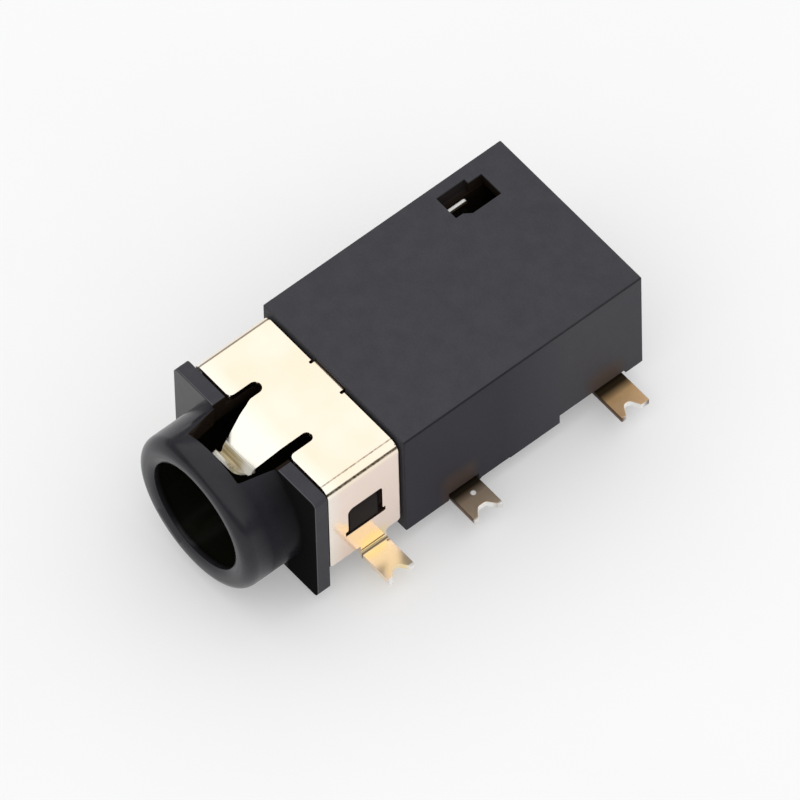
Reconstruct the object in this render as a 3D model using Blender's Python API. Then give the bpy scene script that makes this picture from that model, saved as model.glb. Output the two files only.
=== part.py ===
"""Surface-mount socket for a 3.5 mm audio plug, in metres.

X runs to the right seen from the plug's side, Y runs into the socket and Z runs up from the board.
The origin is on the seating rib under the rear housing, in the plane of the board.
"""
import math

import bmesh
import bpy
from mathutils import Matrix, Vector

mm = 0.001

# Rear housing of the insulator
HOUSING_WIDTH = 6.14 * mm
HOUSING_LENGTH = 8.62 * mm
HOUSING_HEIGHT = 4.34 * mm
HOUSING_EDGE = 0.04 * mm
REAR_WALL = 0.6 * mm
SEAT_FROM_FRONT = 4.3 * mm
STAND_OFF = 0.04 * mm
RIB_START = 3.78 * mm
RIB_LENGTH = 1.8 * mm
RIB_EDGE = 0.03 * mm

# Core under the shell, and the flange in front of it, which hangs over the board's edge
CORE_LENGTH = 2.75 * mm
CORE_FLOOR = 0.17 * mm
CORE_CORNER = 0.2 * mm
FLANGE_WIDTH = 6.12 * mm
FLANGE_THICKNESS = 0.47 * mm
FLANGE_CORNER = 0.16 * mm
FLANGE_SETBACK = 0.04 * mm
FLANGE_DROP = 0.2 * mm

# Plug bore and the round nose about it
BORE_COVER = 0.27 * mm
AXIS_DROP = 0.02 * mm
LIP_STEP = 0.11 * mm
LIP_DEPTH = 0.28 * mm
MOUTH_WIDENING = 0.23 * mm
MOUTH_DEPTH = 0.1 * mm
TIP_HOLE_RADIUS = 1.3 * mm
NOSE_WALL = 0.73 * mm
NOSE_LENGTH = 1.93 * mm
NOSE_FILLET = 0.4 * mm
NOSE_SINK = 0.03 * mm

# Notch over the tongue, from the nose through the flange into the core
NOTCH_SETBACK = 0.78 * mm
NOTCH_FRONT_CENTRE = 0.07 * mm
NOTCH_FRONT_WIDTH = 2.14 * mm
NOTCH_REAR_CENTRE = 0.04 * mm
NOTCH_REAR_WIDTH = 2.62 * mm
NOTCH_CORNER = 0.08 * mm
FLANGE_SLOT_WIDTH = 2.74 * mm
WELL_LENGTH = 1.2 * mm

# Shell, a folded sheet
SHEET = 0.2 * mm
SHELL_WIDTH = 5.84 * mm
SHELL_RECESS = 0.17 * mm
SHELL_BEND = 0.15 * mm
SHELL_SKIRT_HEIGHT = 0.54 * mm
SHELL_FRONT_GAP = 0.14 * mm
SHELL_REAR_GAP = 0.09 * mm
SHELL_CORNER = 0.12 * mm
CORE_CLEARANCE = 0.03 * mm

# Tongue cut free in the shell's top, between two slots
SLOT_END = 1.67 * mm
SLOT_LEFT = 1.36 * mm
SLOT_RIGHT = 1.23 * mm
SLOT_FLARE = 0.17 * mm
TONGUE_BEND_START = 2.12 * mm
TONGUE_BEND_RADIUS = 0.9 * mm
TONGUE_ROOT_WIDTH = 1.84 * mm
TONGUE_ROOT_CENTRE = -0.03 * mm
TONGUE_SHOULDER_WIDTH = 1.74 * mm
TONGUE_SHOULDER_PLACE = 0.26 * mm
TONGUE_SHOULDER_LENGTH = 0.18 * mm
TONGUE_TIP_WIDTH = 1.24 * mm
TONGUE_SLOPE = 33.0
TONGUE_RAMP = 0.8 * mm
TONGUE_CREASE = 0.03 * mm
TONGUE_STEEP = 76.0
TONGUE_DROP = 0.15 * mm
TONGUE_VALLEY = 0.05 * mm
TONGUE_LIP_RISE = 62.0
TONGUE_LIP_LENGTH = 0.36 * mm
TONGUE_LIP_THICKNESS = 0.13 * mm
TONGUE_LIP_CORNER = 0.1 * mm
TONGUE_CUT_WIDTH = 0.85 * mm
TONGUE_CUT_LENGTH = 1.1 * mm
TONGUE_CUT_ROUND = 0.5 * mm

# Tab at the shell's rear edge, tucked into the housing
REAR_TAB_CENTRE = -0.14 * mm
REAR_TAB_WIDTH = 1.24 * mm
REAR_TAB_LENGTH = 0.32 * mm
REAR_TAB_RELIEF = 0.1 * mm
REAR_TAB_CORNER = 0.04 * mm
REAR_TAB_CLEARANCE = 0.04 * mm

# Window in each side wall of the shell, with the snap boss behind it
WINDOW_FRONT = 1.93 * mm
WINDOW_REAR = 0.7 * mm
WINDOW_TOP = 2.7 * mm
WINDOW_SILL = 1.5 * mm
WINDOW_CORNER = 0.2 * mm
WINDOW_REAR_CORNER = 0.1 * mm
EAR_DEPTH = 0.1 * mm
EAR_HEIGHT = 0.2 * mm
EAR_CORNER = 0.04 * mm
BOSS_CLEARANCE = 0.08 * mm
BOSS_SETBACK = 0.03 * mm

# Forked solder feet
FOOT_REACH = 4.17 * mm
FORK_DEPTH = 0.32 * mm
FORK_CORNER = 0.04 * mm
FORK_ROUND = 0.12 * mm
PRONGS = (0.12 * mm, 0.12 * mm)
SWITCH_PRONGS = (0.29 * mm, 0.17 * mm)
FOOT_BEND = 0.12 * mm
SHELL_FOOT_FRONT = 1.52 * mm
SHELL_FOOT_WIDTH = 0.92 * mm

# Contacts in the housing: plates in pockets, each with a sprung arm
PLATE_INSET = 0.6 * mm
PLATE_COVER = 1.04 * mm
TIP_PLATE_COVER = 0.44 * mm
ARM_HEIGHT = 0.7 * mm
PLATE_CORNER = 0.1 * mm
POCKET_CLEARANCE = 0.04 * mm
POCKET_BREAK = 0.21 * mm
FOOT_NOTCH_HEIGHT = 0.35 * mm
RING_ONE_START = 1.59 * mm
RING_ONE_WIDTH = 1.01 * mm
RING_TWO_START = 2.5 * mm
RING_TWO_WIDTH = 0.9 * mm
SWITCH_FROM_REAR = 1.7 * mm
SWITCH_WIDTH = 1.01 * mm
TIP_FROM_REAR = 2.72 * mm
TIP_WIDTH = 0.9 * mm
LONG_ARM_SHARE = 0.14
SHORT_ARM_SHARE = 0.084
ARM_SLOPE = 24.0
ARM_BEND = 0.15 * mm
BUMP_RADIUS = 0.3 * mm
ARM_TAIL = 0.12 * mm

# Relief under the side walls, behind the rib and beside the feet
EDGE_RELIEF_WIDTH = 0.75 * mm
FRONT_RELIEF_GAP = 0.12 * mm
SWITCH_RELIEF_GAP = 0.06 * mm
FRONT_RELIEF_HEIGHT = 0.08 * mm
SWITCH_RELIEF_HEIGHT = 0.4 * mm
REAR_RELIEF_HEIGHT = 0.25 * mm

# Stepped window in the housing's top, over the tip contact
TOP_WINDOW_LEFT = 0.365 * mm
TOP_WINDOW_FROM_REAR = 2.65 * mm
TOP_WINDOW_SIDE = 0.88 * mm
TOP_WINDOW_STEP_X = 0.17 * mm
TOP_WINDOW_STEP_Y = 0.48 * mm
TOP_WINDOW_LENGTH = 1.03 * mm
TOP_WINDOW_CORNER = 0.02 * mm

# Locating pegs
PEG_RADIUS = 0.5 * mm
PEG_LENGTH = 0.6 * mm
PEG_CHAMFER = 0.15 * mm
FRONT_PEG = 0.95 * mm
REAR_PEG_FROM_REAR = 1.9 * mm

# Fineness of the rounds, and how far a cut runs past what it cuts
ROUND_STEPS = 64
PEG_STEPS = 24
FILLET_STEPS = 6
BEND_DEGREES = 18.0
SMOOTH_DEGREES = 30.0
CUT_MARGIN = 0.5 * mm
MERGE = 0.001 * mm

# Places that follow from the sizes
HOUSING_FRONT = -SEAT_FROM_FRONT
HOUSING_REAR = HOUSING_FRONT + HOUSING_LENGTH
FLANGE_REAR = HOUSING_FRONT - CORE_LENGTH
FLANGE_FRONT = FLANGE_REAR - FLANGE_THICKNESS
FLANGE_TOP = HOUSING_HEIGHT - FLANGE_SETBACK
NOSE_FACE = FLANGE_FRONT - NOSE_LENGTH
AXIS_HEIGHT = HOUSING_HEIGHT / 2 - AXIS_DROP
BORE_RADIUS = AXIS_HEIGHT - BORE_COVER
LIP_RADIUS = BORE_RADIUS - LIP_STEP
NOSE_RADIUS = LIP_RADIUS + NOSE_WALL
SHELL_TOP = HOUSING_HEIGHT - SHELL_RECESS
SHELL_FRONT = FLANGE_REAR + SHELL_FRONT_GAP
SHELL_REAR = HOUSING_FRONT - SHELL_REAR_GAP
SHELL_UNDERSIDE = SHELL_TOP - SHEET
SHELL_INSIDE = SHELL_WIDTH / 2 - SHEET
CORE_HALF_WIDTH = SHELL_INSIDE - CORE_CLEARANCE
CORE_TOP = SHELL_UNDERSIDE - CORE_CLEARANCE
TONGUE_START = HOUSING_FRONT - TONGUE_BEND_START
PLATE_OUTSIDE = HOUSING_WIDTH / 2 - PLATE_INSET
PLATE_INSIDE = PLATE_OUTSIDE - SHEET
PLATE_HEIGHT = HOUSING_HEIGHT - PLATE_COVER
TIP_PLATE_HEIGHT = HOUSING_HEIGHT - TIP_PLATE_COVER
SWITCH_START = HOUSING_LENGTH - SWITCH_FROM_REAR
TIP_START = HOUSING_LENGTH - TIP_FROM_REAR
LONG_ARM = HOUSING_LENGTH * LONG_ARM_SHARE
SHORT_ARM = HOUSING_LENGTH * SHORT_ARM_SHARE
TOP_WINDOW_START = HOUSING_LENGTH - TOP_WINDOW_FROM_REAR
REAR_PEG = HOUSING_LENGTH - REAR_PEG_FROM_REAR


def clear_scene():
    for item in list(bpy.data.objects):
        bpy.data.objects.remove(item, do_unlink=True)


def plain_material(name, colour, roughness, metallic):
    material = bpy.data.materials.new(name)
    material.use_nodes = True
    shader = material.node_tree.nodes["Principled BSDF"]
    shader.inputs["Base Color"].default_value = (*colour, 1.0)
    shader.inputs["Roughness"].default_value = roughness
    shader.inputs["Metallic"].default_value = metallic
    return material


def add_object(name, mesh_data, material=None):
    """Turns a bmesh into a named object."""
    bmesh.ops.recalc_face_normals(mesh_data, faces=mesh_data.faces)
    mesh = bpy.data.meshes.new(name)
    mesh_data.to_mesh(mesh)
    mesh_data.free()
    item = bpy.data.objects.new(name, mesh)
    bpy.context.scene.collection.objects.link(item)
    if material:
        mesh.materials.append(material)
    return item


def as_tool(item):
    """Marks an object as a shape used only by a Boolean."""
    item.hide_render = True
    item.display_type = "WIRE"
    return item


def join(target, tool, operation):
    modifier = target.modifiers.new(tool.name, "BOOLEAN")
    modifier.operation = operation
    modifier.solver = "EXACT"
    modifier.object = as_tool(tool)


def box(low, high, edge=0.0, axes="", steps=2):
    """A block between two corners; edges along the named axes are rounded."""
    shape = bmesh.new()
    bmesh.ops.create_cube(shape, size=1.0)
    low, high = Vector(low), Vector(high)
    size = high - low
    bmesh.ops.scale(shape, vec=size, verts=shape.verts)
    bmesh.ops.translate(shape, vec=(low + high) / 2, verts=shape.verts)
    chosen = []
    for line in shape.edges:
        along = line.verts[1].co - line.verts[0].co
        axis = max(range(3), key=lambda index: abs(along[index]))
        on_floor = max(vert.co.z for vert in line.verts) < (low.z + high.z) / 2
        if "XYZ"[axis] in axes and not on_floor:
            chosen.append(line)
    if edge and chosen:
        bmesh.ops.bevel(shape, geom=chosen, offset=edge, offset_type="OFFSET", segments=steps,
                        profile=0.5, affect="EDGES", material=-1, clamp_overlap=True)
    return shape


def rounded(corners):
    """An outline through corners given as (u, v, radius), with an arc at each radius."""
    outline = []
    count = len(corners)
    for index, (u, v, radius) in enumerate(corners):
        here = Vector((u, v))
        if not radius:
            outline.append(here)
            continue
        before = Vector(corners[index - 1][:2]) - here
        after = Vector(corners[(index + 1) % count][:2]) - here
        half = before.angle(after) / 2
        reach = min(radius / math.tan(half), 0.49 * before.length, 0.49 * after.length)
        radius = reach * math.tan(half)
        centre = here + (before.normalized() + after.normalized()).normalized() * radius / math.sin(half)
        first = here + before.normalized() * reach - centre
        last = here + after.normalized() * reach - centre
        swing = math.pi - 2 * half
        turn = 1.0 if first.x * last.y - first.y * last.x > 0 else -1.0
        steps = max(2, round(math.degrees(swing) / BEND_DEGREES))
        for step in range(steps + 1):
            angle = turn * swing * step / steps
            cosine, sine = math.cos(angle), math.sin(angle)
            outline.append(centre + Vector((first.x * cosine - first.y * sine,
                                            first.x * sine + first.y * cosine)))
    return outline


def flat_blank(loops):
    """A flat sheet bounded by an outer outline and any holes."""
    blank = bmesh.new()
    rims = []
    for loop in loops:
        verts = [blank.verts.new((point[0], point[1], 0.0)) for point in loop]
        for index, vert in enumerate(verts):
            rims.append(blank.edges.new((vert, verts[(index + 1) % len(verts)])))
    bmesh.ops.triangle_fill(blank, edges=rims, use_beauty=True, use_dissolve=False)
    return blank


def thicken(blank, height):
    """Raises a flat sheet into a slab."""
    raised = bmesh.ops.extrude_face_region(blank, geom=blank.faces[:])["geom"]
    tops = [item for item in raised if isinstance(item, bmesh.types.BMVert)]
    bmesh.ops.translate(blank, vec=(0, 0, height), verts=tops)
    bmesh.ops.recalc_face_normals(blank, faces=blank.faces)
    return blank


def prism(outline, bottom, top):
    """A plan outline raised between two heights."""
    shape = thicken(flat_blank([outline]), top - bottom)
    bmesh.ops.translate(shape, vec=(0, 0, bottom), verts=shape.verts)
    return shape


def turned(profile):
    """A solid turned about the plug's axis from points (radius, y)."""
    shape = bmesh.new()
    verts = [shape.verts.new((radius, y, 0.0)) for radius, y in profile]
    lines = [shape.edges.new(pair) for pair in zip(verts, verts[1:])]
    bmesh.ops.spin(shape, geom=verts + lines, cent=(0, 0, 0), axis=(0, 1, 0), angle=2 * math.pi,
                   steps=ROUND_STEPS, use_merge=True, use_duplicate=False)
    bmesh.ops.remove_doubles(shape, verts=shape.verts, dist=MERGE)
    bmesh.ops.translate(shape, vec=(0, 0, AXIS_HEIGHT), verts=shape.verts)
    return shape


def arc_points(centre_u, centre_v, radius, start, end, steps):
    points = []
    for step in range(steps + 1):
        angle = math.radians(start + (end - start) * step / steps)
        points.append((centre_u + radius * math.cos(angle), centre_v + radius * math.sin(angle)))
    return points


def straight(length):
    return (length, 0.0)


def bend(degrees, radius):
    """A bend; the radius is that of the sheet's lower face."""
    angle = math.radians(degrees)
    return (abs(angle) * radius, angle)


def along(start, heading, steps, distance, height):
    """The point of a folded strip at a distance along it and a height above its lower face."""
    point = Vector(start)
    if distance < 0:
        point += distance * Vector((math.cos(heading), math.sin(heading)))
        distance = 0.0
    for length, angle in steps:
        used = min(distance, length)
        if angle:
            radius = length / angle
            centre = point + radius * Vector((-math.sin(heading), math.cos(heading)))
            heading += angle * used / length
            point = centre + radius * Vector((math.sin(heading), -math.cos(heading)))
        else:
            point += used * Vector((math.cos(heading), math.sin(heading)))
        distance -= used
        if distance <= 0:
            break
    if distance > 0:
        point += distance * Vector((math.cos(heading), math.sin(heading)))
    return point + height * Vector((-math.sin(heading), math.cos(heading)))


def crease_lines(steps):
    """Distances at which a strip needs an edge across it so that it can bend."""
    lines = []
    reached = 0.0
    for length, angle in steps:
        if angle:
            pieces = max(2, round(math.degrees(abs(angle)) / BEND_DEGREES))
            lines += [reached + length * step / pieces for step in range(pieces + 1)]
        reached += length
    return lines


def crease(blank, axis, values):
    """Cuts edges across the blank at each value of u (axis 0) or v (axis 1)."""
    normal = (1, 0, 0) if axis == 0 else (0, 1, 0)
    for value in values:
        place = (value, 0, 0) if axis == 0 else (0, value, 0)
        everything = blank.verts[:] + blank.edges[:] + blank.faces[:]
        bmesh.ops.bisect_plane(blank, geom=everything, plane_co=place, plane_no=normal, dist=MERGE)


def fold(blank, place):
    """Moves each point of a slab from the flat (u, v, height) to its place on the folded part."""
    for vert in blank.verts:
        vert.co = place(*vert.co)
    bmesh.ops.remove_doubles(blank, verts=blank.verts, dist=MERGE)
    bmesh.ops.triangulate(blank, faces=blank.faces)
    return blank


# Insulator

def housing_block():
    half = HOUSING_WIDTH / 2
    return box((-half, HOUSING_FRONT, STAND_OFF), (half, HOUSING_REAR, HOUSING_HEIGHT),
               HOUSING_EDGE, "XYZ")


def seating_rib():
    half = HOUSING_WIDTH / 2 - RIB_EDGE
    start = HOUSING_FRONT + RIB_START
    return box((-half, start, 0), (half, start + RIB_LENGTH, STAND_OFF + HOUSING_EDGE + RIB_EDGE))


def core_block():
    return box((-CORE_HALF_WIDTH, FLANGE_FRONT + FLANGE_THICKNESS / 2, CORE_FLOOR),
               (CORE_HALF_WIDTH, HOUSING_FRONT + REAR_WALL / 2, CORE_TOP), CORE_CORNER, "Y", 3)


def flange_block():
    half = FLANGE_WIDTH / 2
    outline = rounded([(-half, -FLANGE_DROP, FLANGE_CORNER), (half, -FLANGE_DROP, FLANGE_CORNER),
                       (half, FLANGE_TOP, FLANGE_CORNER), (-half, FLANGE_TOP, FLANGE_CORNER)])
    shape = prism(outline, 0, FLANGE_THICKNESS)
    bmesh.ops.rotate(shape, cent=(0, 0, 0), matrix=Matrix.Rotation(math.pi / 2, 3, "X"), verts=shape.verts)
    bmesh.ops.translate(shape, vec=(0, FLANGE_REAR, 0), verts=shape.verts)
    return shape


def nose_block():
    """The round nose; its rear end narrows so that it stays inside the flange."""
    tip = arc_points(NOSE_RADIUS - NOSE_FILLET, NOSE_FACE + NOSE_FILLET, NOSE_FILLET, -90, 0, FILLET_STEPS)
    inside = FLANGE_FRONT + FLANGE_THICKNESS / 2
    narrow = FLANGE_TOP - AXIS_HEIGHT - FLANGE_THICKNESS / 4
    return turned([(0, NOSE_FACE)] + tip + [(NOSE_RADIUS, FLANGE_FRONT + NOSE_SINK), (narrow, inside),
                                            (0, inside)])


def snap_boss(side):
    """Wedge on the core's side that the shell's window snaps over."""
    front = HOUSING_FRONT - WINDOW_FRONT + BOSS_CLEARANCE
    rear = HOUSING_FRONT - WINDOW_REAR - 2 * BOSS_CLEARANCE
    face = SHELL_WIDTH / 2 - BOSS_SETBACK
    root = CORE_HALF_WIDTH - BOSS_CLEARANCE
    sill = WINDOW_SILL + BOSS_CLEARANCE
    lead = WINDOW_TOP - BOSS_CLEARANCE
    outline = [(root, sill), (face, sill), (face, lead - SHEET), (face - SHEET / 2, lead), (root, lead)]
    shape = prism(outline, 0, rear - front)
    bmesh.ops.rotate(shape, cent=(0, 0, 0), matrix=Matrix.Rotation(math.pi / 2, 3, "X"), verts=shape.verts)
    bmesh.ops.translate(shape, vec=(0, rear, 0), verts=shape.verts)
    bmesh.ops.scale(shape, vec=(side, 1, 1), verts=shape.verts)
    return shape


def locating_peg(from_front):
    shape = bmesh.new()
    top = STAND_OFF + PEG_CHAMFER
    height = PEG_LENGTH + top
    bmesh.ops.create_cone(shape, cap_ends=True, segments=PEG_STEPS, radius1=PEG_RADIUS,
                          radius2=PEG_RADIUS, depth=height)
    bmesh.ops.translate(shape, vec=(0, HOUSING_FRONT + from_front, top - height / 2), verts=shape.verts)
    lowest = min(vert.co.z for vert in shape.verts)
    rim = [line for line in shape.edges if all(vert.co.z < lowest + MERGE for vert in line.verts)]
    bmesh.ops.bevel(shape, geom=rim, offset=PEG_CHAMFER, offset_type="OFFSET", segments=1, profile=0.5,
                    affect="EDGES", material=-1)
    return shape


def bore_cut():
    """The flared mouth, the lip, the bore and the hole for the plug's tip."""
    mouth = LIP_RADIUS + MOUTH_WIDENING * (MOUTH_DEPTH + CUT_MARGIN) / MOUTH_DEPTH
    lip_end = NOSE_FACE + LIP_DEPTH
    bore_end = HOUSING_REAR - REAR_WALL
    outside = NOSE_FACE - CUT_MARGIN
    beyond = HOUSING_REAR + CUT_MARGIN
    return turned([(0, outside), (mouth, outside), (LIP_RADIUS, NOSE_FACE + MOUTH_DEPTH),
                   (LIP_RADIUS, lip_end), (BORE_RADIUS, lip_end), (BORE_RADIUS, bore_end),
                   (TIP_HOLE_RADIUS, bore_end), (TIP_HOLE_RADIUS, beyond), (0, beyond)])


def tongue_cut():
    """The notch in the nose's top, the slot in the flange and the well in the core."""
    front_left = NOTCH_FRONT_CENTRE - NOTCH_FRONT_WIDTH / 2
    rear_left = NOTCH_REAR_CENTRE - NOTCH_REAR_WIDTH / 2
    half_slot = FLANGE_SLOT_WIDTH / 2
    front = NOSE_FACE + NOTCH_SETBACK
    end = FLANGE_REAR + WELL_LENGTH
    front_right = front_left + NOTCH_FRONT_WIDTH
    outline = rounded([(front_left, front, NOTCH_CORNER), (front_right, front, NOTCH_CORNER),
                       (rear_left + NOTCH_REAR_WIDTH, FLANGE_FRONT, 0), (half_slot, FLANGE_FRONT, 0),
                       (half_slot, end, NOTCH_CORNER), (-half_slot, end, NOTCH_CORNER),
                       (-half_slot, FLANGE_FRONT, 0), (rear_left, FLANGE_FRONT, 0)])
    return prism(outline, AXIS_HEIGHT, HOUSING_HEIGHT + NOSE_RADIUS)


def rear_tab_cut():
    half = REAR_TAB_WIDTH / 2 + REAR_TAB_CLEARANCE
    return box((REAR_TAB_CENTRE - half, HOUSING_FRONT - CUT_MARGIN, SHELL_UNDERSIDE - REAR_TAB_CLEARANCE),
               (REAR_TAB_CENTRE + half, SHELL_REAR + REAR_TAB_LENGTH + REAR_TAB_CLEARANCE,
                SHELL_TOP + REAR_TAB_CLEARANCE))


def top_window_cut():
    left = TOP_WINDOW_LEFT - HOUSING_WIDTH / 2
    front = HOUSING_FRONT + TOP_WINDOW_START
    right = left + TOP_WINDOW_SIDE
    back = front + TOP_WINDOW_LENGTH
    step_x, step_y = TOP_WINDOW_STEP_X, TOP_WINDOW_STEP_Y
    corners = [(left, front), (right, front), (right, front + step_y / 2),
               (right + step_x, front + step_y), (right + step_x, back + step_y),
               (left + step_x, back + step_y), (left + step_x, back), (left, back)]
    outline = rounded([(u, v, TOP_WINDOW_CORNER) for u, v in corners])
    return prism(outline, TIP_PLATE_HEIGHT - POCKET_CLEARANCE, HOUSING_HEIGHT + CUT_MARGIN)


def pocket_cut(side, low, high, height):
    """Pocket for a contact, open at the underside and into the bore."""
    outer = side * (PLATE_OUTSIDE + POCKET_CLEARANCE)
    inner = side * (BORE_RADIUS - POCKET_BREAK)
    return box((min(outer, inner), HOUSING_FRONT + low, -CUT_MARGIN),
               (max(outer, inner), HOUSING_FRONT + high, height + POCKET_CLEARANCE))


def edge_cut(side, low, high, height):
    """Relief under a side wall, between two distances from the housing's front."""
    inner = HOUSING_WIDTH / 2 - EDGE_RELIEF_WIDTH
    outer = HOUSING_WIDTH / 2 + CUT_MARGIN
    return box((min(side * inner, side * outer), HOUSING_FRONT + low, -CUT_MARGIN),
               (max(side * inner, side * outer), HOUSING_FRONT + high, height))


def contact_rows():
    """Name, side, start, width, plate height, arm direction, arm length and prongs of each contact."""
    return [
        ("ring_one_contact", 1, RING_ONE_START, RING_ONE_WIDTH, PLATE_HEIGHT, 1, LONG_ARM, PRONGS),
        ("ring_two_contact", -1, RING_TWO_START, RING_TWO_WIDTH, PLATE_HEIGHT, -1, LONG_ARM, PRONGS),
        ("switch_contact", 1, SWITCH_START, SWITCH_WIDTH, PLATE_HEIGHT, -1, LONG_ARM, SWITCH_PRONGS),
        ("tip_contact", -1, TIP_START, TIP_WIDTH, TIP_PLATE_HEIGHT, 1, SHORT_ARM, PRONGS),
    ]


def arm_run(length):
    """How far an arm reaches along the socket from its plate."""
    steps = arm_steps(length)
    return along((0, 0), 0.0, steps, total(steps), 0.0).x


def insulator(material):
    body = add_object("insulator", housing_block(), material)
    added = [("rib", seating_rib()), ("core", core_block()), ("flange", flange_block()),
             ("nose", nose_block()), ("boss_right", snap_boss(1)), ("boss_left", snap_boss(-1)),
             ("peg_front", locating_peg(FRONT_PEG)), ("peg_rear", locating_peg(REAR_PEG))]
    for name, shape in added:
        join(body, add_object("add_" + name, shape), "UNION")
    cuts = [("bore", bore_cut()), ("tongue", tongue_cut()), ("rear_tab", rear_tab_cut()),
            ("top_window", top_window_cut())]
    for name, side, start, width, height, way, arm, prongs in contact_rows():
        reach = arm_run(arm) + POCKET_CLEARANCE
        low = start - (reach if way < 0 else POCKET_CLEARANCE)
        high = start + width + (reach if way > 0 else POCKET_CLEARANCE)
        cuts.append((name + "_pocket", pocket_cut(side, low, high, height)))
        cuts.append((name + "_notch", edge_cut(side, start - POCKET_CLEARANCE,
                                               start + width + POCKET_CLEARANCE, FOOT_NOTCH_HEIGHT)))
    rib_end = RIB_START + RIB_LENGTH
    front_start = RING_ONE_START + RING_ONE_WIDTH + FRONT_RELIEF_GAP
    switch_end = SWITCH_START + SWITCH_WIDTH + SWITCH_RELIEF_GAP
    rear_end = HOUSING_LENGTH + CUT_MARGIN
    for side in (1, -1):
        label = "_right" if side > 0 else "_left"
        cuts.append(("front_relief" + label, edge_cut(side, front_start, RIB_START, FRONT_RELIEF_HEIGHT)))
        cuts.append(("switch_relief" + label, edge_cut(side, rib_end, switch_end, SWITCH_RELIEF_HEIGHT)))
        cuts.append(("rear_relief" + label, edge_cut(side, SWITCH_START, rear_end, REAR_RELIEF_HEIGHT)))
    for name, shape in cuts:
        join(body, add_object("cut_" + name, shape), "DIFFERENCE")
    return body


# Sheet metal

def fork(tip, low, high, prongs):
    """Points along the forked end of a foot at u = tip, from v = low to v = high."""
    first, last = low + prongs[0], high - prongs[1]
    narrowing = (last - first) / 3
    root = tip - FORK_DEPTH
    return [(tip, low, FORK_CORNER), (tip, first, FORK_CORNER), (root, first + narrowing, FORK_ROUND),
            (root, last - narrowing, FORK_ROUND), (tip, last, FORK_CORNER), (tip, high, FORK_CORNER)]


def shell_steps():
    """Folds from the middle of the top to the tip of a foot."""
    foot_radius = FOOT_BEND + SHEET
    wall = SHELL_UNDERSIDE - SHELL_BEND - foot_radius
    return [straight(SHELL_INSIDE - SHELL_BEND), bend(-90, SHELL_BEND), straight(wall),
            bend(90, foot_radius), straight(FOOT_REACH - SHELL_INSIDE - foot_radius)]


def tongue_steps():
    """Folds from the tongue's root to the edge of its lip."""
    return [bend(-TONGUE_SLOPE, TONGUE_BEND_RADIUS), straight(TONGUE_RAMP),
            bend(TONGUE_SLOPE - TONGUE_STEEP, TONGUE_CREASE), straight(TONGUE_DROP),
            bend(TONGUE_STEEP + TONGUE_LIP_RISE, TONGUE_VALLEY + SHEET), straight(TONGUE_LIP_LENGTH)]


def total(steps):
    return sum(length for length, angle in steps)


def blank_at_height(height):
    """Distance along the blank, from the middle of the top, at which a side wall has a height."""
    steps = shell_steps()
    return steps[0][0] + steps[1][0] + SHELL_UNDERSIDE - SHELL_BEND - height


def shell_side_outline(side):
    """Blank outline of one side wall, from its front bottom corner to its rear bottom corner."""
    skirt = blank_at_height(SHELL_SKIRT_HEIGHT)
    low = HOUSING_FRONT - SHELL_FOOT_FRONT
    high = low + SHELL_FOOT_WIDTH
    corners = [(skirt, SHELL_FRONT, SHELL_CORNER), (skirt, low, FORK_CORNER)]
    corners += fork(total(shell_steps()), low, high, PRONGS)
    corners += [(skirt, high, SHELL_CORNER), (skirt, SHELL_REAR, SHELL_CORNER)]
    if side < 0:
        corners = [(-u, v, radius) for u, v, radius in reversed(corners)]
    return corners


def tongue_side_outline(side, slot, lip):
    """Blank outline of one side of the tongue, from the lip's corners to the shell's front edge."""
    steps = tongue_steps()
    tip = TONGUE_START - total(steps)
    slope_end = TONGUE_START - total(steps[:2])
    shoulder = TONGUE_START - TONGUE_SHOULDER_PLACE
    slot_end = HOUSING_FRONT - SLOT_END
    root = side * TONGUE_ROOT_CENTRE + TONGUE_ROOT_WIDTH / 2
    round_end = (slot - root) / 2
    corners = [(u, tip + from_tip, radius) for u, from_tip, radius in lip]
    corners += [(TONGUE_TIP_WIDTH / 2, slope_end, 0), (TONGUE_SHOULDER_WIDTH / 2, shoulder, SHEET),
                (root, shoulder + TONGUE_SHOULDER_LENGTH, SHEET), (root, slot_end, round_end),
                (slot, slot_end, round_end), (slot, SHELL_FRONT, SLOT_FLARE)]
    return [(side * u, v, radius) for u, v, radius in corners]


def front_edge_outline():
    """Blank outline of the front edge, from the left wall to the right: slot, tongue and slot."""
    half = TONGUE_TIP_WIDTH / 2
    left = tongue_side_outline(-1, SLOT_LEFT, [(half, 0, TONGUE_LIP_CORNER)])
    right = tongue_side_outline(1, SLOT_RIGHT, [(half - TONGUE_CUT_WIDTH, 0, TONGUE_CUT_ROUND),
                                                (half, TONGUE_CUT_LENGTH, TONGUE_CUT_ROUND)])
    return left[::-1] + right


def lip_height(from_root, height):
    """Height above the tongue's lower face, thinned towards the edge of the lip."""
    lip_start = total(tongue_steps()[:4])
    share = max(0.0, from_root - lip_start) / (total(tongue_steps()) - lip_start)
    thickness = SHEET + share * (TONGUE_LIP_THICKNESS - SHEET)
    return SHEET - (SHEET - height) * thickness / SHEET


def rear_edge_outline():
    """Blank outline of the rear edge, from the right wall to the left, with the tab."""
    end = SHELL_REAR + REAR_TAB_LENGTH
    corners = []
    for sign in (1, -1):
        edge = REAR_TAB_CENTRE + sign * REAR_TAB_WIDTH / 2
        side = edge + sign * REAR_TAB_RELIEF
        notch = [(side, SHELL_REAR, 0), (side, SHELL_REAR - REAR_TAB_RELIEF, REAR_TAB_CORNER),
                 (edge, SHELL_REAR - REAR_TAB_RELIEF, REAR_TAB_CORNER), (edge, end, REAR_TAB_CORNER)]
        corners += notch if sign > 0 else reversed(notch)
    return corners


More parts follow.
